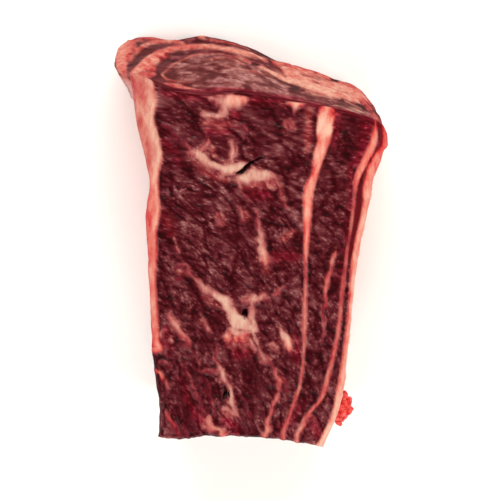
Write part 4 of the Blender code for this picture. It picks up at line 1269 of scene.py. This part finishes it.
# %% [markdown]
# ## Where the fat begins
# The stored distance gives a crisp edge, but the real one frays between the bundles. So the bundles and
# granules are added to the distance before it is cut off: strongly for marbling, less for the layers
# and on the end wall. Down the sides the fat has worn through in patches and bare muscle shows. Around
# marbling a halo of blushing lean shows the fat that lies just below the surface.

# %% The shares of fat and blush
FRAYING_OF_MARBLING = 0.95
FRAYING_OF_LAYERS = 0.35
FRAYING_ON_WALL = 0.5
SALMON_OF_LAYERS = 0.6
GRIT_IN_EDGE = 0.6
FAT_EDGE_FROM = -0.45
FAT_EDGE_TO = 0.35
PATCH_GRIT = 0.25
PATCH_FROM = 0.55
PATCH_TO = 0.62
FAT_LEFT_IN_PATCH = 0.15
HALO_OF_MARBLING = -1.1
HALO_OF_LAYERS = -0.7
HALO_INSIDE = -0.05
HALO_STRENGTH = 0.65
HALO_TONE_FROM = 0.4
HALO_TONE_TO = 0.85

fraying = node(tissue, "ShaderNodeMapRange", {
    "Value": stored["salmon"], "From Max": SALMON_OF_LAYERS, "To Min": FRAYING_OF_MARBLING,
    "To Max": FRAYING_OF_LAYERS}).outputs[0]
wall_fraying = node(tissue, "ShaderNodeMapRange", {
    "Value": stored["wall"], "To Min": 1.0, "To Max": FRAYING_ON_WALL}).outputs[0]
fraying = node(tissue, "ShaderNodeMath", {0: fraying, 1: wall_fraying}, operation="MULTIPLY").outputs[0]
fray_noise = node(tissue, "ShaderNodeMath", {0: grit, 1: GRIT_IN_EDGE, 2: bundle_rise},
                  operation="MULTIPLY_ADD").outputs[0]
edge = node(tissue, "ShaderNodeMath", {0: fray_noise, 1: fraying, 2: stored["fat"]},
            operation="MULTIPLY_ADD").outputs[0]
fat_share = node(tissue, "ShaderNodeMapRange", {
    "Value": edge, "From Min": FAT_EDGE_FROM, "From Max": FAT_EDGE_TO},
    interpolation_type="SMOOTHSTEP").outputs[0]
worn = node(tissue, "ShaderNodeMath", {0: grit, 1: PATCH_GRIT, 2: patches},
            operation="MULTIPLY_ADD").outputs[0]
fat_left = node(tissue, "ShaderNodeMapRange", {
    "Value": worn, "From Min": PATCH_FROM, "From Max": PATCH_TO, "To Min": 1.0, "To Max": FAT_LEFT_IN_PATCH},
    interpolation_type="SMOOTHSTEP").outputs[0]
fat_left = node(tissue, "ShaderNodeMix", {0: stored["side"], 2: 1.0, 3: fat_left},
                data_type="FLOAT").outputs[0]
fat_share = node(tissue, "ShaderNodeMath", {0: fat_share, 1: fat_left}, operation="MULTIPLY").outputs[0]
halo_reach = node(tissue, "ShaderNodeMapRange", {
    "Value": stored["salmon"], "From Max": SALMON_OF_LAYERS, "To Min": HALO_OF_MARBLING,
    "To Max": HALO_OF_LAYERS}).outputs[0]
halo = node(tissue, "ShaderNodeMapRange", {
    "Value": edge, "From Min": halo_reach, "From Max": HALO_INSIDE, "To Max": HALO_STRENGTH},
    interpolation_type="SMOOTHSTEP").outputs[0]
halo_share = node(tissue, "ShaderNodeMapRange", {
    "Value": stored["tone"], "From Min": HALO_TONE_FROM, "From Max": HALO_TONE_TO, "To Min": 1.0,
    "To Max": 0.0}).outputs[0]
halo = node(tissue, "ShaderNodeMath", {0: halo, 1: halo_share}, operation="MULTIPLY").outputs[0]
blush_share = node(tissue, "ShaderNodeMath", {0: stored["blush"], 1: halo}, operation="MAXIMUM").outputs[0]
print("the edge of the fat is this wide, mm:", round(FAT_EDGE_TO - FAT_EDGE_FROM, 2))

# %% [markdown]
# ## Laying the colours over each other
# Like paint, the colours go on from the bottom up: fresh lean, then the red, blushing and dried places,
# the fat, the groove, deepened with painted shade, the grey skin on the sides, whose pale colour also
# paints its sheen, and at last the cracks, which are nearly black because no light comes back from them.

# %% The colour
SHEET_FROM = 0.01
SHEET_TO = 0.14
SHEET_STRENGTH = 0.38
GRIT_IN_CRACK = 1.5
CRACK_FROM = -0.3
CRACK_TO = 0.25

ramps = {}
for name, stops in {"lean": LEAN_COLOURS, "red": RED_COLOURS, "blush": BLUSH_COLOURS,
                    "dry": DRY_COLOURS}.items():
    ramps[name] = node(tissue, "ShaderNodeValToRGB", {0: lean_tone})
    fill_ramp(ramps[name], stops)
meat = ramps["lean"].outputs[0]
for share, name in ((stored["red"], "red"), (blush_share, "blush"), (stored["dry"], "dry")):
    meat = node(tissue, "ShaderNodeMix", {0: share, 6: meat, 7: ramps[name].outputs[0]},
                data_type="RGBA").outputs[2]
# Where the skin lies over the fat: its pale colour, and a painted sheen with it.
skin_and_sheen_share = node(tissue, "ShaderNodeMapRange", {
    "Value": sheet_rise, "From Min": SHEET_FROM, "From Max": SHEET_TO, "To Max": SHEET_STRENGTH},
    interpolation_type="SMOOTHSTEP").outputs[0]
skin_and_sheen_share = node(tissue, "ShaderNodeMath", {0: skin_and_sheen_share, 1: fat_share}, operation="MULTIPLY").outputs[0]
crack = node(tissue, "ShaderNodeMath", {0: grit, 1: GRIT_IN_CRACK, 2: stored["crack"]},
             operation="MULTIPLY_ADD").outputs[0]
crack_share = node(tissue, "ShaderNodeMapRange", {
    "Value": crack, "From Min": CRACK_FROM, "From Max": CRACK_TO},
    interpolation_type="SMOOTHSTEP").outputs[0]
# Over the meat go the fat, the groove with its painted shade, the skin with its painted sheen and the cracks.
overlays = ((fat_share, fat_colour), (stored["groove"], linear(GROOVE_SHADE_COLOUR)),
            (skin_and_sheen_share, linear(SKIN_AND_SHEEN_COLOUR)), (crack_share, linear(CRACK_COLOUR)))
for share, overlay in overlays:
    meat = node(tissue, "ShaderNodeMix", {0: share, 6: meat, 7: overlay}, data_type="RGBA").outputs[2]
print("colours laid over each other:", len(ramps) + len(overlays))

# %% [markdown]
# ## Moist where it is fresh, dull where it has dried
# Fresh meat is wet and lean granules are a little glossier than the tissue between them. The end wall,
# its rim and the groove have dried, so they are rough and hardly shine. The streaks of the lean and of
# the fat also give the height for a fine bump.

# %% Roughness, shine and height
GLOSS_FROM = 0.3
GLOSS_TO = 0.7
ROUGHEST_MOIST = 0.36
SMOOTHEST_MOIST = 0.24
DRY_ROUGHNESS = 0.65
MOIST_SPECULAR = 0.2
DRY_SPECULAR = 0.07
FAT_STREAK_HEIGHT = 0.4

roughness = node(tissue, "ShaderNodeMapRange", {
    "Value": granules, "From Min": GLOSS_FROM, "From Max": GLOSS_TO, "To Min": ROUGHEST_MOIST,
    "To Max": SMOOTHEST_MOIST}).outputs[0]
roughness = node(tissue, "ShaderNodeMix", {0: stored["dull"], 2: roughness, 3: DRY_ROUGHNESS},
                 data_type="FLOAT").outputs[0]
specular = node(tissue, "ShaderNodeMapRange", {
    "Value": stored["dull"], "To Min": MOIST_SPECULAR, "To Max": DRY_SPECULAR}).outputs[0]
lean_share = node(tissue, "ShaderNodeMath", {0: 1.0, 1: fat_share}, operation="SUBTRACT").outputs[0]
height = node(tissue, "ShaderNodeMath", {0: streaks, 1: lean_share}, operation="MULTIPLY").outputs[0]
height = node(tissue, "ShaderNodeMath", {0: fat_streaks, 1: FAT_STREAK_HEIGHT, 2: height},
              operation="MULTIPLY_ADD").outputs[0]
node(tissue, "NodeGroupOutput", {
    "Color": meat, "Roughness": roughness, "Specular": specular, "Height": height})
print(tissue.name, "has", len(tissue.nodes), "nodes")

# %% [markdown]
# ## Four finishes from one paint
# The layers' materials share the paint. They could be one material, but fat is softer than lean and a
# knife leaves its streaks higher, so each has its own bump. Meat juice is water with protein and a
# little fat, so its index of refraction is a bit above that of water. That is the same all over, so it
# is set on the shader itself.

# %% The materials of the layers
WET_IOR = 1.38
LEAN_BUMP = 0.25
FAT_BUMP = 0.35


def beef_material(name, bump_depth, **shader_values):
    """A moist raw beef finish: the shared paint, with this tissue's own way to take light."""
    made = bpy.data.materials.new(name)
    made.use_nodes = True
    tree = made.node_tree
    shader = tree.nodes["Principled BSDF"]
    paint = node(tree, "ShaderNodeGroup", {}, node_tree=tissue)
    bump = node(tree, "ShaderNodeBump", {"Height": paint.outputs["Height"], "Distance": bump_depth * MM})
    tree.links.new(paint.outputs["Color"], shader.inputs["Base Color"])
    tree.links.new(paint.outputs["Roughness"], shader.inputs["Roughness"])
    tree.links.new(paint.outputs["Specular"], shader.inputs["Specular IOR Level"])
    tree.links.new(bump.outputs["Normal"], shader.inputs["Normal"])
    for key, value in shader_values.items():
        shader.inputs[key.replace("_", " ")].default_value = value
    return made


# Lean muscle, freshly cut: dark maroon with small soft glints on its fibres.
raw_lean_beef = beef_material("raw_lean_beef", LEAN_BUMP, IOR=WET_IOR)
# Fat between muscles, cut: salmon to cream, waxy and evenly moist.
soft_seam_fat = beef_material("soft_seam_fat", FAT_BUMP, IOR=WET_IOR)
# Fat torn off the rib: redder on its outer side and painted a little darker as shade, with shreds of grey
# skin whose pale colour also paints their sheen.
bone_side_fat = beef_material("bone_side_fat_finish", FAT_BUMP, IOR=WET_IOR)
# Fat under the outer skin: orange pink, worn through in patches.
outer_skin_fat = beef_material("outer_skin_fat", FAT_BUMP, IOR=WET_IOR)
print("materials:", raw_lean_beef.name, soft_seam_fat.name, bone_side_fat.name, outer_skin_fat.name)

# %% [markdown]
# ## Storing and placing the points
# A mesh is quickest to fill when all its points are read and written as one array. Every point stores
# the values that the relief tree and the paint read. Where the cut face turns into the end wall, the
# two sets of values are blended over less than a millimetre.

# %% The values of a layer's points
EDGE_REACH = 1.2
WALL_REACH = 3.0
WALL_BLEND = 0.9
DULL_REACH = 1.6
SIDE_BLEND = 3.0
FIELD_LIMIT = 3
NO_LENGTH = 1e-6


def read_points(mesh):
    points = np.empty(3 * len(mesh.vertices), np.float32)
    mesh.vertices.foreach_get("co", points)
    return points.reshape(-1, 3).astype(float)


def write_points(mesh, points):
    mesh.vertices.foreach_set("co", points.astype(np.float32).ravel())


def store(mesh, name, kind, values):
    """Store one value or vector for each point of a mesh."""
    attribute = mesh.attributes.new(name, kind, "POINT")
    field = "vector" if kind == "FLOAT_VECTOR" else "value"
    attribute.data.foreach_set(field, values.astype(np.float32).ravel())


def outward_at(from_left, from_right, from_low, from_high, depth):
    """The direction out of the block, near its walls and cut faces, and no direction inside it."""
    walls = np.stack((near(from_right, EDGE_REACH) - near(from_left, EDGE_REACH),
                      near(from_high, EDGE_REACH) - near(from_low, EDGE_REACH),
                      near(depth, EDGE_REACH) - near(THICKNESS - depth, EDGE_REACH)), axis=1)
    return walls / np.maximum(np.linalg.norm(walls, axis=1), NO_LENGTH)[:, None]


def surface_values(x, y, depth, from_side, from_high):
    """What each point shows, from the cut face or the end wall, and its grain coordinates."""
    on_wall = soft_step(near(from_high, WALL_REACH) * WALL_REACH) * fade(depth, 0, WALL_BLEND)
    face = face_fields(x, y, depth)
    wall, dry = wall_fields(x, y, depth)
    values = {key: np.clip(mix(face[key], wall[key], on_wall), -FIELD_LIMIT, FIELD_LIMIT) for key in face}
    values["dry"] = dry * on_wall
    values["wall"] = on_wall
    # The two grains meet half way round the upper edge, so the fibres' relief is level there.
    values["lean"] = (1 - soft_edge(values["fat"], FAT_EDGE)) * np.abs(2 * on_wall - 1)
    on_side = soft_step(near(from_side, EDGE_REACH))
    values["side"] = on_side * fade(depth, 0, SIDE_BLEND) * fade(from_high, 0, SIDE_STARTS)
    values["dull"] = np.maximum(np.maximum(on_wall, values["groove"]), soft_step(near(from_high, DULL_REACH)))
    return values, mix(face_grain(x, y, depth), wall_grain(x, y, depth), on_wall[:, None])


print("the cut face turns into the end wall over this depth, mm:", WALL_BLEND)

# %% [markdown]
# ## A soft block on a hard board
# The weight of the block rounds its lower edges, and the cut face is very slightly hilly. The cracks and
# the groove are sunk in, and lean lies a little lower than fat, which is firmer. All of it moves the
# lattice's points, so it shows in the outline and in the mesh, not only in the paint.

# %% Where the points go
CENTRE_ACROSS = -1.69
CENTRE_ALONG = 2.9
LOWER_ROUND = 3.5
FACE_RELIEF = 0.45
FACE_HILLS = 26.0
CRACK_DEPTH = 1.6
CRACK_EDGE = 0.5
CRACK_SPREAD = 0.6
GROOVE_DEPTH = 0.25
FAT_PROUD = 0.12


def placed_at(x, y, depth, from_left, from_right, from_low, from_high):
    """Where points stand in the frame, in millimetres, before anything is sunk in."""
    pressed = rounding(THICKNESS - depth, LOWER_ROUND)
    placed_x = x + pressed * (near(from_left) - near(from_right))
    placed_y = y + pressed * (near(from_low) - near(from_high))
    face_height = THICKNESS - FACE_RELIEF + FACE_RELIEF * swell(placed_x, placed_y, FACE_HILLS)
    placed_z = (THICKNESS - depth) / THICKNESS * face_height
    return np.stack((placed_x - CENTRE_ACROSS, placed_y - CENTRE_ALONG, placed_z), axis=1)


def sunk_by(values):
    """How deep the cracks, the groove and the lean lie below the fat."""
    cracks = CRACK_DEPTH * soft_step(values["crack"] / CRACK_EDGE + CRACK_SPREAD)
    return cracks + GROOVE_DEPTH * values["groove"] + FAT_PROUD * (1 - soft_edge(values["fat"], FAT_EDGE))


def mark_sharp(mesh, corner):
    """Shade sharply across each edge whose two ends are both at a corner of the layer."""
    ends = np.empty(2 * len(mesh.edges), np.int32)
    mesh.edges.foreach_get("vertices", ends)
    sharp = corner[ends.reshape(-1, 2)].all(axis=1)
    mesh.attributes.new("sharp_edge", "BOOLEAN", "EDGE").data.foreach_set("value", sharp)


print("the frame's middle lies this far across and along, mm:", CENTRE_ACROSS, CENTRE_ALONG)

# %% [markdown]
# ## Bend the lattices into layers
# Each layer lies between two of the boundary lines. Neighbours share theirs, so no gap shows between
# them. Levels crowd together near the cut faces, where the detail is. After the relief the points are
# kept inside the CAD box, because the dressed part may not grow.

# %% Build a layer
LEVELS = 57
EDGE_CROWDING = 0.7
TOUCHING = 0.0001


def layer(name, left, right, columns, material, sharp_left=True, first_row=0):
    """One layer between two boundaries, with its stored values and its relief, as a plain mesh."""
    mesh = run_tree(lattice_tree, bpy.data.meshes.new(name), {
        "Columns": columns + 1, "Rows": ROWS - first_row, "Levels": LEVELS, "Material": material})
    column, row, level = read_points(mesh).T + 0.5
    on_edge = (np.abs(level - 0.5) > 0.5 - TOUCHING) | (np.abs(row - 0.5) > 0.5 - TOUCHING)
    side_corner = on_edge & ((column > 1 - TOUCHING) | ((column < TOUCHING) & sharp_left))
    row = mix(first_row / (ROWS - 1), 1, row)
    even = 1 - level
    depth = THICKNESS * (even - EDGE_CROWDING * np.sin(math.tau * even) / math.tau)
    x = mix(left(row, depth), right(row, depth), column)
    low, high = lower_end(x, depth), upper_end(x, depth)
    y = mix(low, high, row)

    from_left, from_right = x - bone_side(y, depth), outer_side(y, depth) - x
    from_low, from_high = y - low, high - y
    outward = outward_at(from_left, from_right, from_low, from_high, depth)
    values, grain_at = surface_values(x, y, depth, np.minimum(from_left, from_right), from_high)
    placed = placed_at(x, y, depth, from_left, from_right, from_low, from_high)
    write_points(mesh, MM * (placed - sunk_by(values)[:, None] * outward))
    store(mesh, "grain", "FLOAT_VECTOR", grain_at)
    store(mesh, "outward", "FLOAT_VECTOR", outward)
    for key, value in values.items():
        store(mesh, key, "FLOAT", value)
    mark_sharp(mesh, side_corner)

    made = run_tree(relief_tree, mesh, {
        "Fibre pitch": FIBRE_PITCH, "Fibre relief": FIBRE_RELIEF, "Lump pitch": LUMP_PITCH,
        "Lump relief": LUMP_RELIEF, "Fold pitch": FOLD_PITCH, "Fold relief": FOLD_RELIEF, "Seed": RELIEF_SEED,
        "Material": material})
    write_points(made, np.clip(read_points(made), np.array(cad_low), np.array(cad_high)))
    made.shade_smooth()
    return made


print("a layer has", ROWS, "rows and", LEVELS, "levels")

# %% [markdown]
# ## Show the layers
# Each layer is given enough columns for cells of about half a millimetre on the muscle, and a few on
# the thin layers. It takes the place of its CAD solid and rides on the same body.

# %% The seven layers
def stands_at(side):
    """A boundary as a function of row and depth, which is how a layer asks for it."""
    return lambda row, depth: across_at(side, row, depth)


def show(name, mesh, slot, *nodes):
    """Put a finished mesh in the scene in place of its CAD nodes."""
    piece = bpy.data.objects.new(name, mesh)
    mesh.name = name
    bpy.context.scene.collection.objects.link(piece)
    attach(piece, "root")
    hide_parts(*nodes)
    print(name, len(mesh.polygons), "faces")
    return piece


show("bone_side_fat_layer", layer("bone_side_fat_layer", stands_at(bone_side), under_bone_fat,
                                  columns=9, material=bone_side_fat, sharp_left=False,
                                  first_row=FIRST_BONE_FAT_ROW),
     "bone_side_fat", "bone_side_fat")
show("marbled_rib_muscle", layer("marbled_rib_muscle", under_bone_fat, stands_at(seam_inside),
                                 columns=103, material=raw_lean_beef),
     "muscle", "rib_muscle")
show("soft_fat_seam", layer("soft_fat_seam", stands_at(seam_inside), stands_at(seam_outside),
                            columns=7, material=soft_seam_fat),
     "seam_fat", "fat_seam")
show("dark_outer_muscle", layer("dark_outer_muscle", stands_at(seam_outside), stands_at(fat_line_inside),
                                columns=26, material=raw_lean_beef),
     "muscle", "outer_muscle")
show("thin_fat_line", layer("thin_fat_line", stands_at(fat_line_inside), stands_at(fat_line_outside),
                            columns=3, material=soft_seam_fat),
     "seam_fat", "fat_line")
show("cap_muscle_strip", layer("cap_muscle_strip", stands_at(fat_line_outside), stands_at(outer_fat_inside),
                               columns=6, material=raw_lean_beef),
     "muscle", "cap_muscle")
show("outer_fat_layer", layer("outer_fat_layer", stands_at(outer_fat_inside), stands_at(outer_side),
                              columns=5, material=outer_skin_fat),
     "outer_fat", "outer_fat")

# %% [markdown]
# ## The scrap of minced meat
# A scrap from the mincer sticks to the outer fat: short bright red granules pressed together. Modelling
# each would be slow work, so a third tree strews granules over a small core, turns and sizes them at
# random from a fixed seed, and roughens them with noise.

# %% The granule tree: granules strewn over a core
GRANULE_SMALLEST = (0.6, 0.6, 0.9)
GRANULE_LARGEST = (1.0, 1.0, 1.5)
GRANULE_FINENESS = 4

granule_tree = geometry_tree("minced_granules", {
    "Granule radius": "NodeSocketFloat", "Density": "NodeSocketFloat", "Roughness": "NodeSocketFloat",
    "Seed": "NodeSocketInt", "Material": "NodeSocketMaterial"})
given = node(granule_tree, "NodeGroupInput", {})
spots = node(granule_tree, "GeometryNodeDistributePointsOnFaces", {
    "Mesh": given.outputs["Geometry"], "Density": given.outputs["Density"], "Seed": given.outputs["Seed"]})
granule = node(granule_tree, "GeometryNodeMeshIcoSphere", {
    "Radius": given.outputs["Granule radius"], "Subdivisions": GRANULE_FINENESS})
spin = node(granule_tree, "FunctionNodeRandomValue", {
    "Max": (math.tau, math.tau, math.tau), "Seed": given.outputs["Seed"]}, data_type="FLOAT_VECTOR")
size = node(granule_tree, "FunctionNodeRandomValue", {
    0: GRANULE_SMALLEST, 1: GRANULE_LARGEST, "Seed": given.outputs["Seed"]}, data_type="FLOAT_VECTOR")
strewn = node(granule_tree, "GeometryNodeInstanceOnPoints", {
    "Points": spots.outputs["Points"], "Instance": granule.outputs["Mesh"], "Rotation": spin.outputs[0],
    "Scale": size.outputs[0]})
joined = node(granule_tree, "GeometryNodeJoinGeometry", {})
granule_tree.links.new(given.outputs["Geometry"], joined.inputs[0])
granule_tree.links.new(strewn.outputs[0], joined.inputs[0])
real = node(granule_tree, "GeometryNodeRealizeInstances", {0: joined.outputs[0]})
print("granules are between", GRANULE_SMALLEST, "and", GRANULE_LARGEST, "times their radius")

# %% The granule tree: their rough surface
BUMPS_PER_MM = 1.1
BUMP_LEVEL = 0.6
BUMP_HEIGHT = 4.0

rough_noise = node(granule_tree, "ShaderNodeTexNoise", {"Scale": BUMPS_PER_MM / MM, "Detail": 2.0},
                   noise_dimensions="3D")
rough = node(granule_tree, "ShaderNodeMath", {0: rough_noise.outputs[0], 1: BUMP_LEVEL}, operation="SUBTRACT")
rough = node(granule_tree, "ShaderNodeMath", {0: rough.outputs[0], 1: given.outputs["Roughness"]},
             operation="MULTIPLY")
rough = node(granule_tree, "ShaderNodeMath", {0: rough.outputs[0], 1: BUMP_HEIGHT * MM}, operation="MULTIPLY")
normal = node(granule_tree, "GeometryNodeInputNormal", {})
offset = node(granule_tree, "ShaderNodeVectorMath", {0: normal.outputs[0], "Scale": rough.outputs[0]},
              operation="SCALE")
moved = node(granule_tree, "GeometryNodeSetPosition", {
    "Geometry": real.outputs[0], "Offset": offset.outputs[0]})
finished = node(granule_tree, "GeometryNodeSetMaterial", {
    "Geometry": moved.outputs[0], "Material": given.outputs["Material"]})
node(granule_tree, "NodeGroupOutput", {0: finished.outputs[0]})
print(granule_tree.name, "has", len(granule_tree.nodes), "nodes")

# %% [markdown]
# ## The finish of mince
# The mincer tears the meat and lets air at it, so it turns bright red with pink smears of fat. A noise
# read in Object coordinates goes through a ramp for that, and the same noise gives a little bump. The
# ramp's palest pink also stands for painted highlights on the granules.

# %% The material of the scrap
# From dark red to pale pink: the palest pink stands for pink fat and for painted highlights.
MINCE_COLOURS = ((0.30, "#a3100f"), (0.45, "#da2922"), (0.60, "#e5493d"), (0.76, "#ee8577"))
MINCE_SMEARS_AND_GLINTS_PER_MM = 0.9
MINCE_ROUGHNESS = 0.32
MINCE_BUMP = 0.15

# Minced lean beef: bright red, torn and moist, with soft glints and painted pink highlights.
minced_beef = bpy.data.materials.new("minced_beef")
minced_beef.use_nodes = True
tree = minced_beef.node_tree
shader = tree.nodes["Principled BSDF"]
shader.inputs["IOR"].default_value = WET_IOR
shader.inputs["Roughness"].default_value = MINCE_ROUGHNESS
place = node(tree, "ShaderNodeTexCoord", {}).outputs["Object"]
smears_and_glints = node(tree, "ShaderNodeTexNoise", {"Vector": place, "Scale": MINCE_SMEARS_AND_GLINTS_PER_MM / MM, "Detail": 3.0})
ramp = node(tree, "ShaderNodeValToRGB", {0: smears_and_glints.outputs[0]})
fill_ramp(ramp, MINCE_COLOURS)
bump = node(tree, "ShaderNodeBump", {"Height": smears_and_glints.outputs[0], "Distance": MINCE_BUMP * MM})
tree.links.new(ramp.outputs[0], shader.inputs["Base Color"])
tree.links.new(bump.outputs[0], shader.inputs["Normal"])
print("material:", minced_beef.name)

# %% [markdown]
# ## Place the scrap
# The core is a lattice like the layers' that is pushed out to a small ball, so it needs no tree of its
# own. It stands just off the outer side, near the lower end, at about two thirds of the block's height.

# %% Build the scrap
SCRAP_ALONG = -42.4
SCRAP_HEIGHT = 28.0
SCRAP_CORE = (1.5, 3.8, 2.6)
SCRAP_FROM_SIDE = 1.3
CORE_POINTS = 12
GRANULE_RADIUS = 1.3
GRANULES_PER_MM2 = 0.32
GRANULE_ROUGHNESS = 0.07
SCRAP_SEED = 4

core = run_tree(lattice_tree, bpy.data.meshes.new("scrap"), {
    "Columns": CORE_POINTS, "Rows": CORE_POINTS, "Levels": CORE_POINTS, "Material": minced_beef})
ball = read_points(core)
ball = ball / np.linalg.norm(ball, axis=1)[:, None] * SCRAP_CORE
y = ball[:, 1] + SCRAP_ALONG
z = ball[:, 2] + SCRAP_HEIGHT
x = ball[:, 0] + outer_side(y, THICKNESS - z) + SCRAP_FROM_SIDE
write_points(core, MM * np.stack((x - CENTRE_ACROSS, y - CENTRE_ALONG, z), axis=1))
scrap = run_tree(granule_tree, core, {
    "Granule radius": GRANULE_RADIUS * MM, "Density": GRANULES_PER_MM2 / MM**2,
    "Roughness": GRANULE_ROUGHNESS, "Seed": SCRAP_SEED, "Material": minced_beef})
scrap.shade_smooth()
show("minced_meat_scrap", scrap, "minced_scrap", "meat_scrap")

# %% [markdown]
# ## The floor
# The block lies on plain white. A large flat sheet is enough: it only catches the soft shadow and
# bounces some light back on the walls. It isn't part of the object.

# %% Floor
scene = bpy.context.scene
scene.view_settings.view_transform = "Standard"
FLOOR_SIZE = 6.0
FLOOR_COLOUR = "#fffaf4"
FLOOR_ROUGHNESS = 0.9
FLOOR_SPECULAR = 0.1

floor_mesh = bpy.data.meshes.new("floor")
half = FLOOR_SIZE / 2
corners = [(-half, -half, 0), (half, -half, 0), (half, half, 0), (-half, half, 0)]
floor_mesh.from_pydata(corners, [], [(0, 1, 2, 3)])
floor = bpy.data.objects.new("floor", floor_mesh)
scene.collection.objects.link(floor)
# Matt white: it has no glint that could compete with the moist meat.
white_paper = bpy.data.materials.new("white_paper")
white_paper.use_nodes = True
paper_shader = white_paper.node_tree.nodes["Principled BSDF"]
paper_shader.inputs["Base Color"].default_value = linear(FLOOR_COLOUR)
paper_shader.inputs["Roughness"].default_value = FLOOR_ROUGHNESS
paper_shader.inputs["Specular IOR Level"].default_value = FLOOR_SPECULAR
floor_mesh.materials.append(white_paper)
print("floor, m:", FLOOR_SIZE)

# %% [markdown]
# ## Light
# Meat is dark and moist, so a white sky straight above would lay a grey veil over it. Four softboxes
# therefore stand round the block, strongest at the upper end, and only their glints reach the camera.
# Each is given by its turn round the block from the upper end, its rise above the floor, both in
# degrees, and its power in watts. A weak white world fills the shadows.

# %% Lamps and world
LAMP_DISTANCE = 0.9
LAMP_SIZE = 0.6
LAMPS = {"upper_end": (0, 42, 7.8), "bone_side": (-100, 32, 4.4), "lower_end": (180, 28, 5.2),
         "outer_side": (100, 32, 4.8)}
WORLD_COLOUR = "#fffdfa"
WORLD_STRENGTH = 0.18

aim = Vector((0, 0, 0.5 * THICKNESS * MM))
for name, (turn, rise, power) in LAMPS.items():
    a, e = math.radians(turn), math.radians(rise)
    lamp = bpy.data.lights.new("softbox_" + name, "AREA")
    lamp.shape = "SQUARE"
    lamp.size = LAMP_SIZE
    lamp.energy = power
    holder = bpy.data.objects.new("softbox_" + name, lamp)
    scene.collection.objects.link(holder)
    towards = Vector((math.sin(a) * math.cos(e), math.cos(a) * math.cos(e), math.sin(e)))
    holder.location = aim + LAMP_DISTANCE * towards
    holder.rotation_mode = "QUATERNION"
    holder.rotation_quaternion = (aim - holder.location).to_track_quat("-Z", "Y")

world = bpy.data.worlds.new("studio")
world.use_nodes = True
world.node_tree.nodes["Background"].inputs["Color"].default_value = linear(WORLD_COLOUR)
world.node_tree.nodes["Background"].inputs["Strength"].default_value = WORLD_STRENGTH
scene.world = world
print("softboxes:", len(LAMPS))

# %% [markdown]
# ## Camera
# The camera looks down, about 12 degrees off the vertical, from the side of the upper end, and its
# picture is turned so that this end is at the top. A long lens keeps the sides nearly parallel, as in
# the photo, so the distance follows from the lens and from how much has to fit in the picture.

# %% Camera
LENS = 200.0
SENSOR = 22.3
TILT = math.radians(12.4)
FRAME_HEIGHT = 0.132
AIM_ALONG = 0.002
CLIP_START = 0.01
CLIP_END = 50.0

camera_data = bpy.data.cameras.new("camera")
camera_data.lens = LENS
camera_data.sensor_width = SENSOR
camera_data.clip_start = CLIP_START
camera_data.clip_end = CLIP_END
camera = bpy.data.objects.new("camera", camera_data)
scene.collection.objects.link(camera)
scene.camera = camera
target = Vector((0.0, AIM_ALONG, THICKNESS * MM))
back = Vector((0.0, math.sin(TILT), math.cos(TILT)))
upwards = Vector((0.0, math.cos(TILT), -math.sin(TILT)))
distance = FRAME_HEIGHT / 2 / math.tan(math.atan(SENSOR / 2 / LENS))
turned = Matrix((upwards.cross(back), upwards, back)).transposed().to_4x4()
camera.matrix_world = Matrix.Translation(target + distance * back) @ turned
print("camera distance, m:", round(distance, 3))
